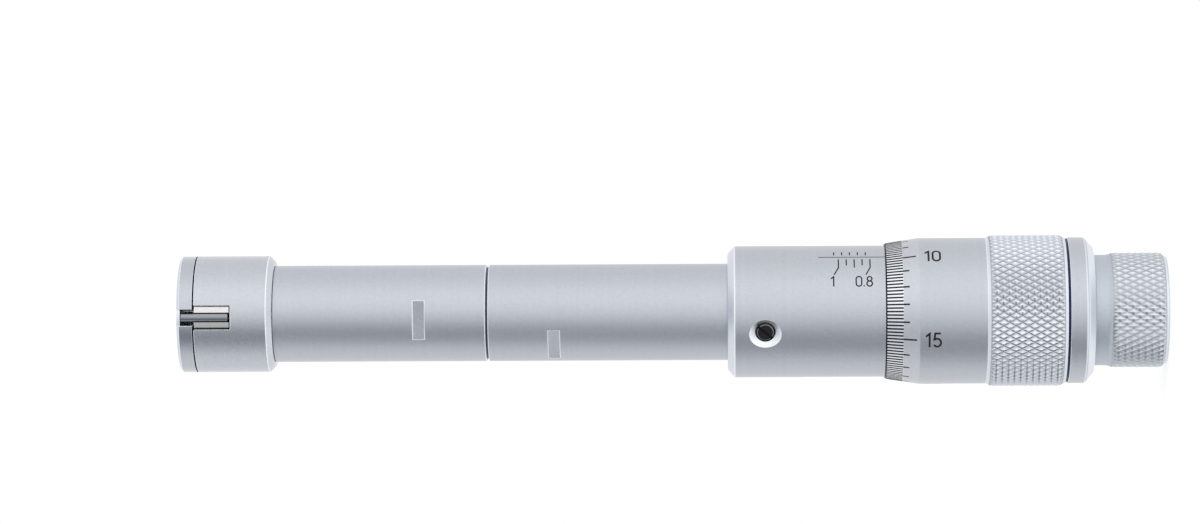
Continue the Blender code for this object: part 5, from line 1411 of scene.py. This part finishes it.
knob_top = rear_cap_low - NECK_GAP
knob_groove = KNOB_RADIUS - KNOB_DEPTH
knob_outline = [
    (knob_groove, KNOB_BAND[1]),
    (KNOB_NECK, KNOB_BEVEL_TOP),
    (KNOB_NECK, knob_top),
    (KNOB_CHAMBER, knob_top),
    (KNOB_CHAMBER, KNOB_FLOOR),
    (KNOB_HOLE, KNOB_FLOOR),
    (KNOB_HOLE, KNOB_COUNTERBORE_DEPTH),
    (KNOB_COUNTERBORE, KNOB_COUNTERBORE_DEPTH),
    (KNOB_COUNTERBORE, 0),
    (KNOB_FLAT, 0),
    (knob_groove - KNOB_TAPER[0], KNOB_BAND[0]),
]
# The knob's knurl has painted shade in its grooves and painted highlight on its ridges.
knob_knurl = new_finish("knob_knurl_looks", (0.61, 0.64, 0.69), 0.22, grain=0.5, groove_shade_ridge_light=(0.66, 1.25))
knob_satin = new_finish("knob_satin_looks", (0.50, 0.535, 0.59), 0.42)
knob = turned(
    "ratchet_knob_looks",
    eased_open(knob_outline, REAR_EASE),
    knob_satin,
    bright,
    knob_satin,
    chamfer_highlight,
    knob_knurl,
    steps=KNOB_TEETH * KNURL_PARTS,
    closed=False,
)
# The end chamfer is painted light as a highlight.
paint_faces(knob, BRIGHT_SLOT, PAINT_MARGIN, KNOB_BAND[0])
add_knurl(knob, *KNOB_BAND, KNOB_RADIUS, KNOB_DEPTH, KNOB_TEETH, KNOB_ROWS, KNOB_TAPER, knob_knurl)
finished(knob, "ratchet", "satin_chrome", "ratchet_knob", flat_slots=(KNURL_SLOT,))


# The ratchet screw: a cheese-head screw of ground steel, sunk in the knob's flat end.
RATCHET_HEAD = 4.0
RATCHET_HEAD_HEIGHT = 1.5
RATCHET_SHANK = 2.4
RATCHET_THREAD = 1.85
RATCHET_SHOULDER = 9.49
RATCHET_SLOT = 0.8
RATCHET_SLOT_DEPTH = 0.7
RATCHET_SLOT_REACH = 6
RATCHET_STEPS = 96

screw_low, screw_high = ends("ratchet_screw")
screw_outline = [
    (0, screw_high),
    (RATCHET_THREAD, screw_high),
    (RATCHET_THREAD, RATCHET_SHOULDER),
    (RATCHET_SHANK, RATCHET_SHOULDER),
    (RATCHET_SHANK, screw_low + RATCHET_HEAD_HEIGHT),
    (RATCHET_HEAD, screw_low + RATCHET_HEAD_HEIGHT),
    (RATCHET_HEAD, screw_low),
    (0, screw_low),
]
ratchet_screw = turned(
    "ratchet_screw_looks", eased(screw_outline, BROAD_EASE), ground, ground, steps=RATCHET_STEPS
)
slot_floor = screw_low + RATCHET_SLOT_DEPTH
cut_slot(ratchet_screw, RATCHET_SLOT_REACH, RATCHET_SLOT, screw_low - OVER, slot_floor)
finished(ratchet_screw, "thimble", "ground_steel", "ratchet_screw")


spring_wire = new_finish("spring_steel_looks", (0.42, 0.43, 0.45), 0.30, grain=0.6)


def giving_spring(node):
    """Takes over a spring's CAD shape as a piece in spring steel that rides on the frame."""
    shell = bmesh.new()
    shell.from_mesh(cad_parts[node].data)
    bmesh.ops.remove_doubles(shell, verts=shell.verts, dist=TOUCH * MM)
    bmesh.ops.recalc_face_normals(shell, faces=shell.faces)
    mesh = bpy.data.meshes.new(node)
    shell.to_mesh(mesh)
    shell.free()
    piece = add_piece(f"{node}_looks", mesh, spring_wire)
    smooth_all(mesh, SHARP_OVER)
    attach(piece, "frame")
    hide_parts(node)
    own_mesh(piece)


giving_spring("return_spring")
for i, angle in enumerate(anvil_angles):
    giving_spring(f"anvil_spring_{i + 1}")


# The works inside keep their CAD shapes: the cone, rods, ball, spindle and ratchet in ground steel,
# the ratchet's spring in spring steel, the inner sleeve in satin steel and its nut in brass.
brass = new_finish("nut_brass_looks", (0.72, 0.55, 0.28), 0.32)
works = {
    ground: (
        "cone",
        "front_push_rod",
        "rear_push_rod",
        "steel_ball",
        "spindle",
        "ratchet_wheel",
        "ratchet_clutch",
    ),
    spring_wire: ("ratchet_spring",),
    satin: ("inner_sleeve",),
    brass: ("adjusting_nut",),
}
for finish, names in works.items():
    for name in names:
        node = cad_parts[name]
        for slot in node.material_slots:
            slot.material = finish
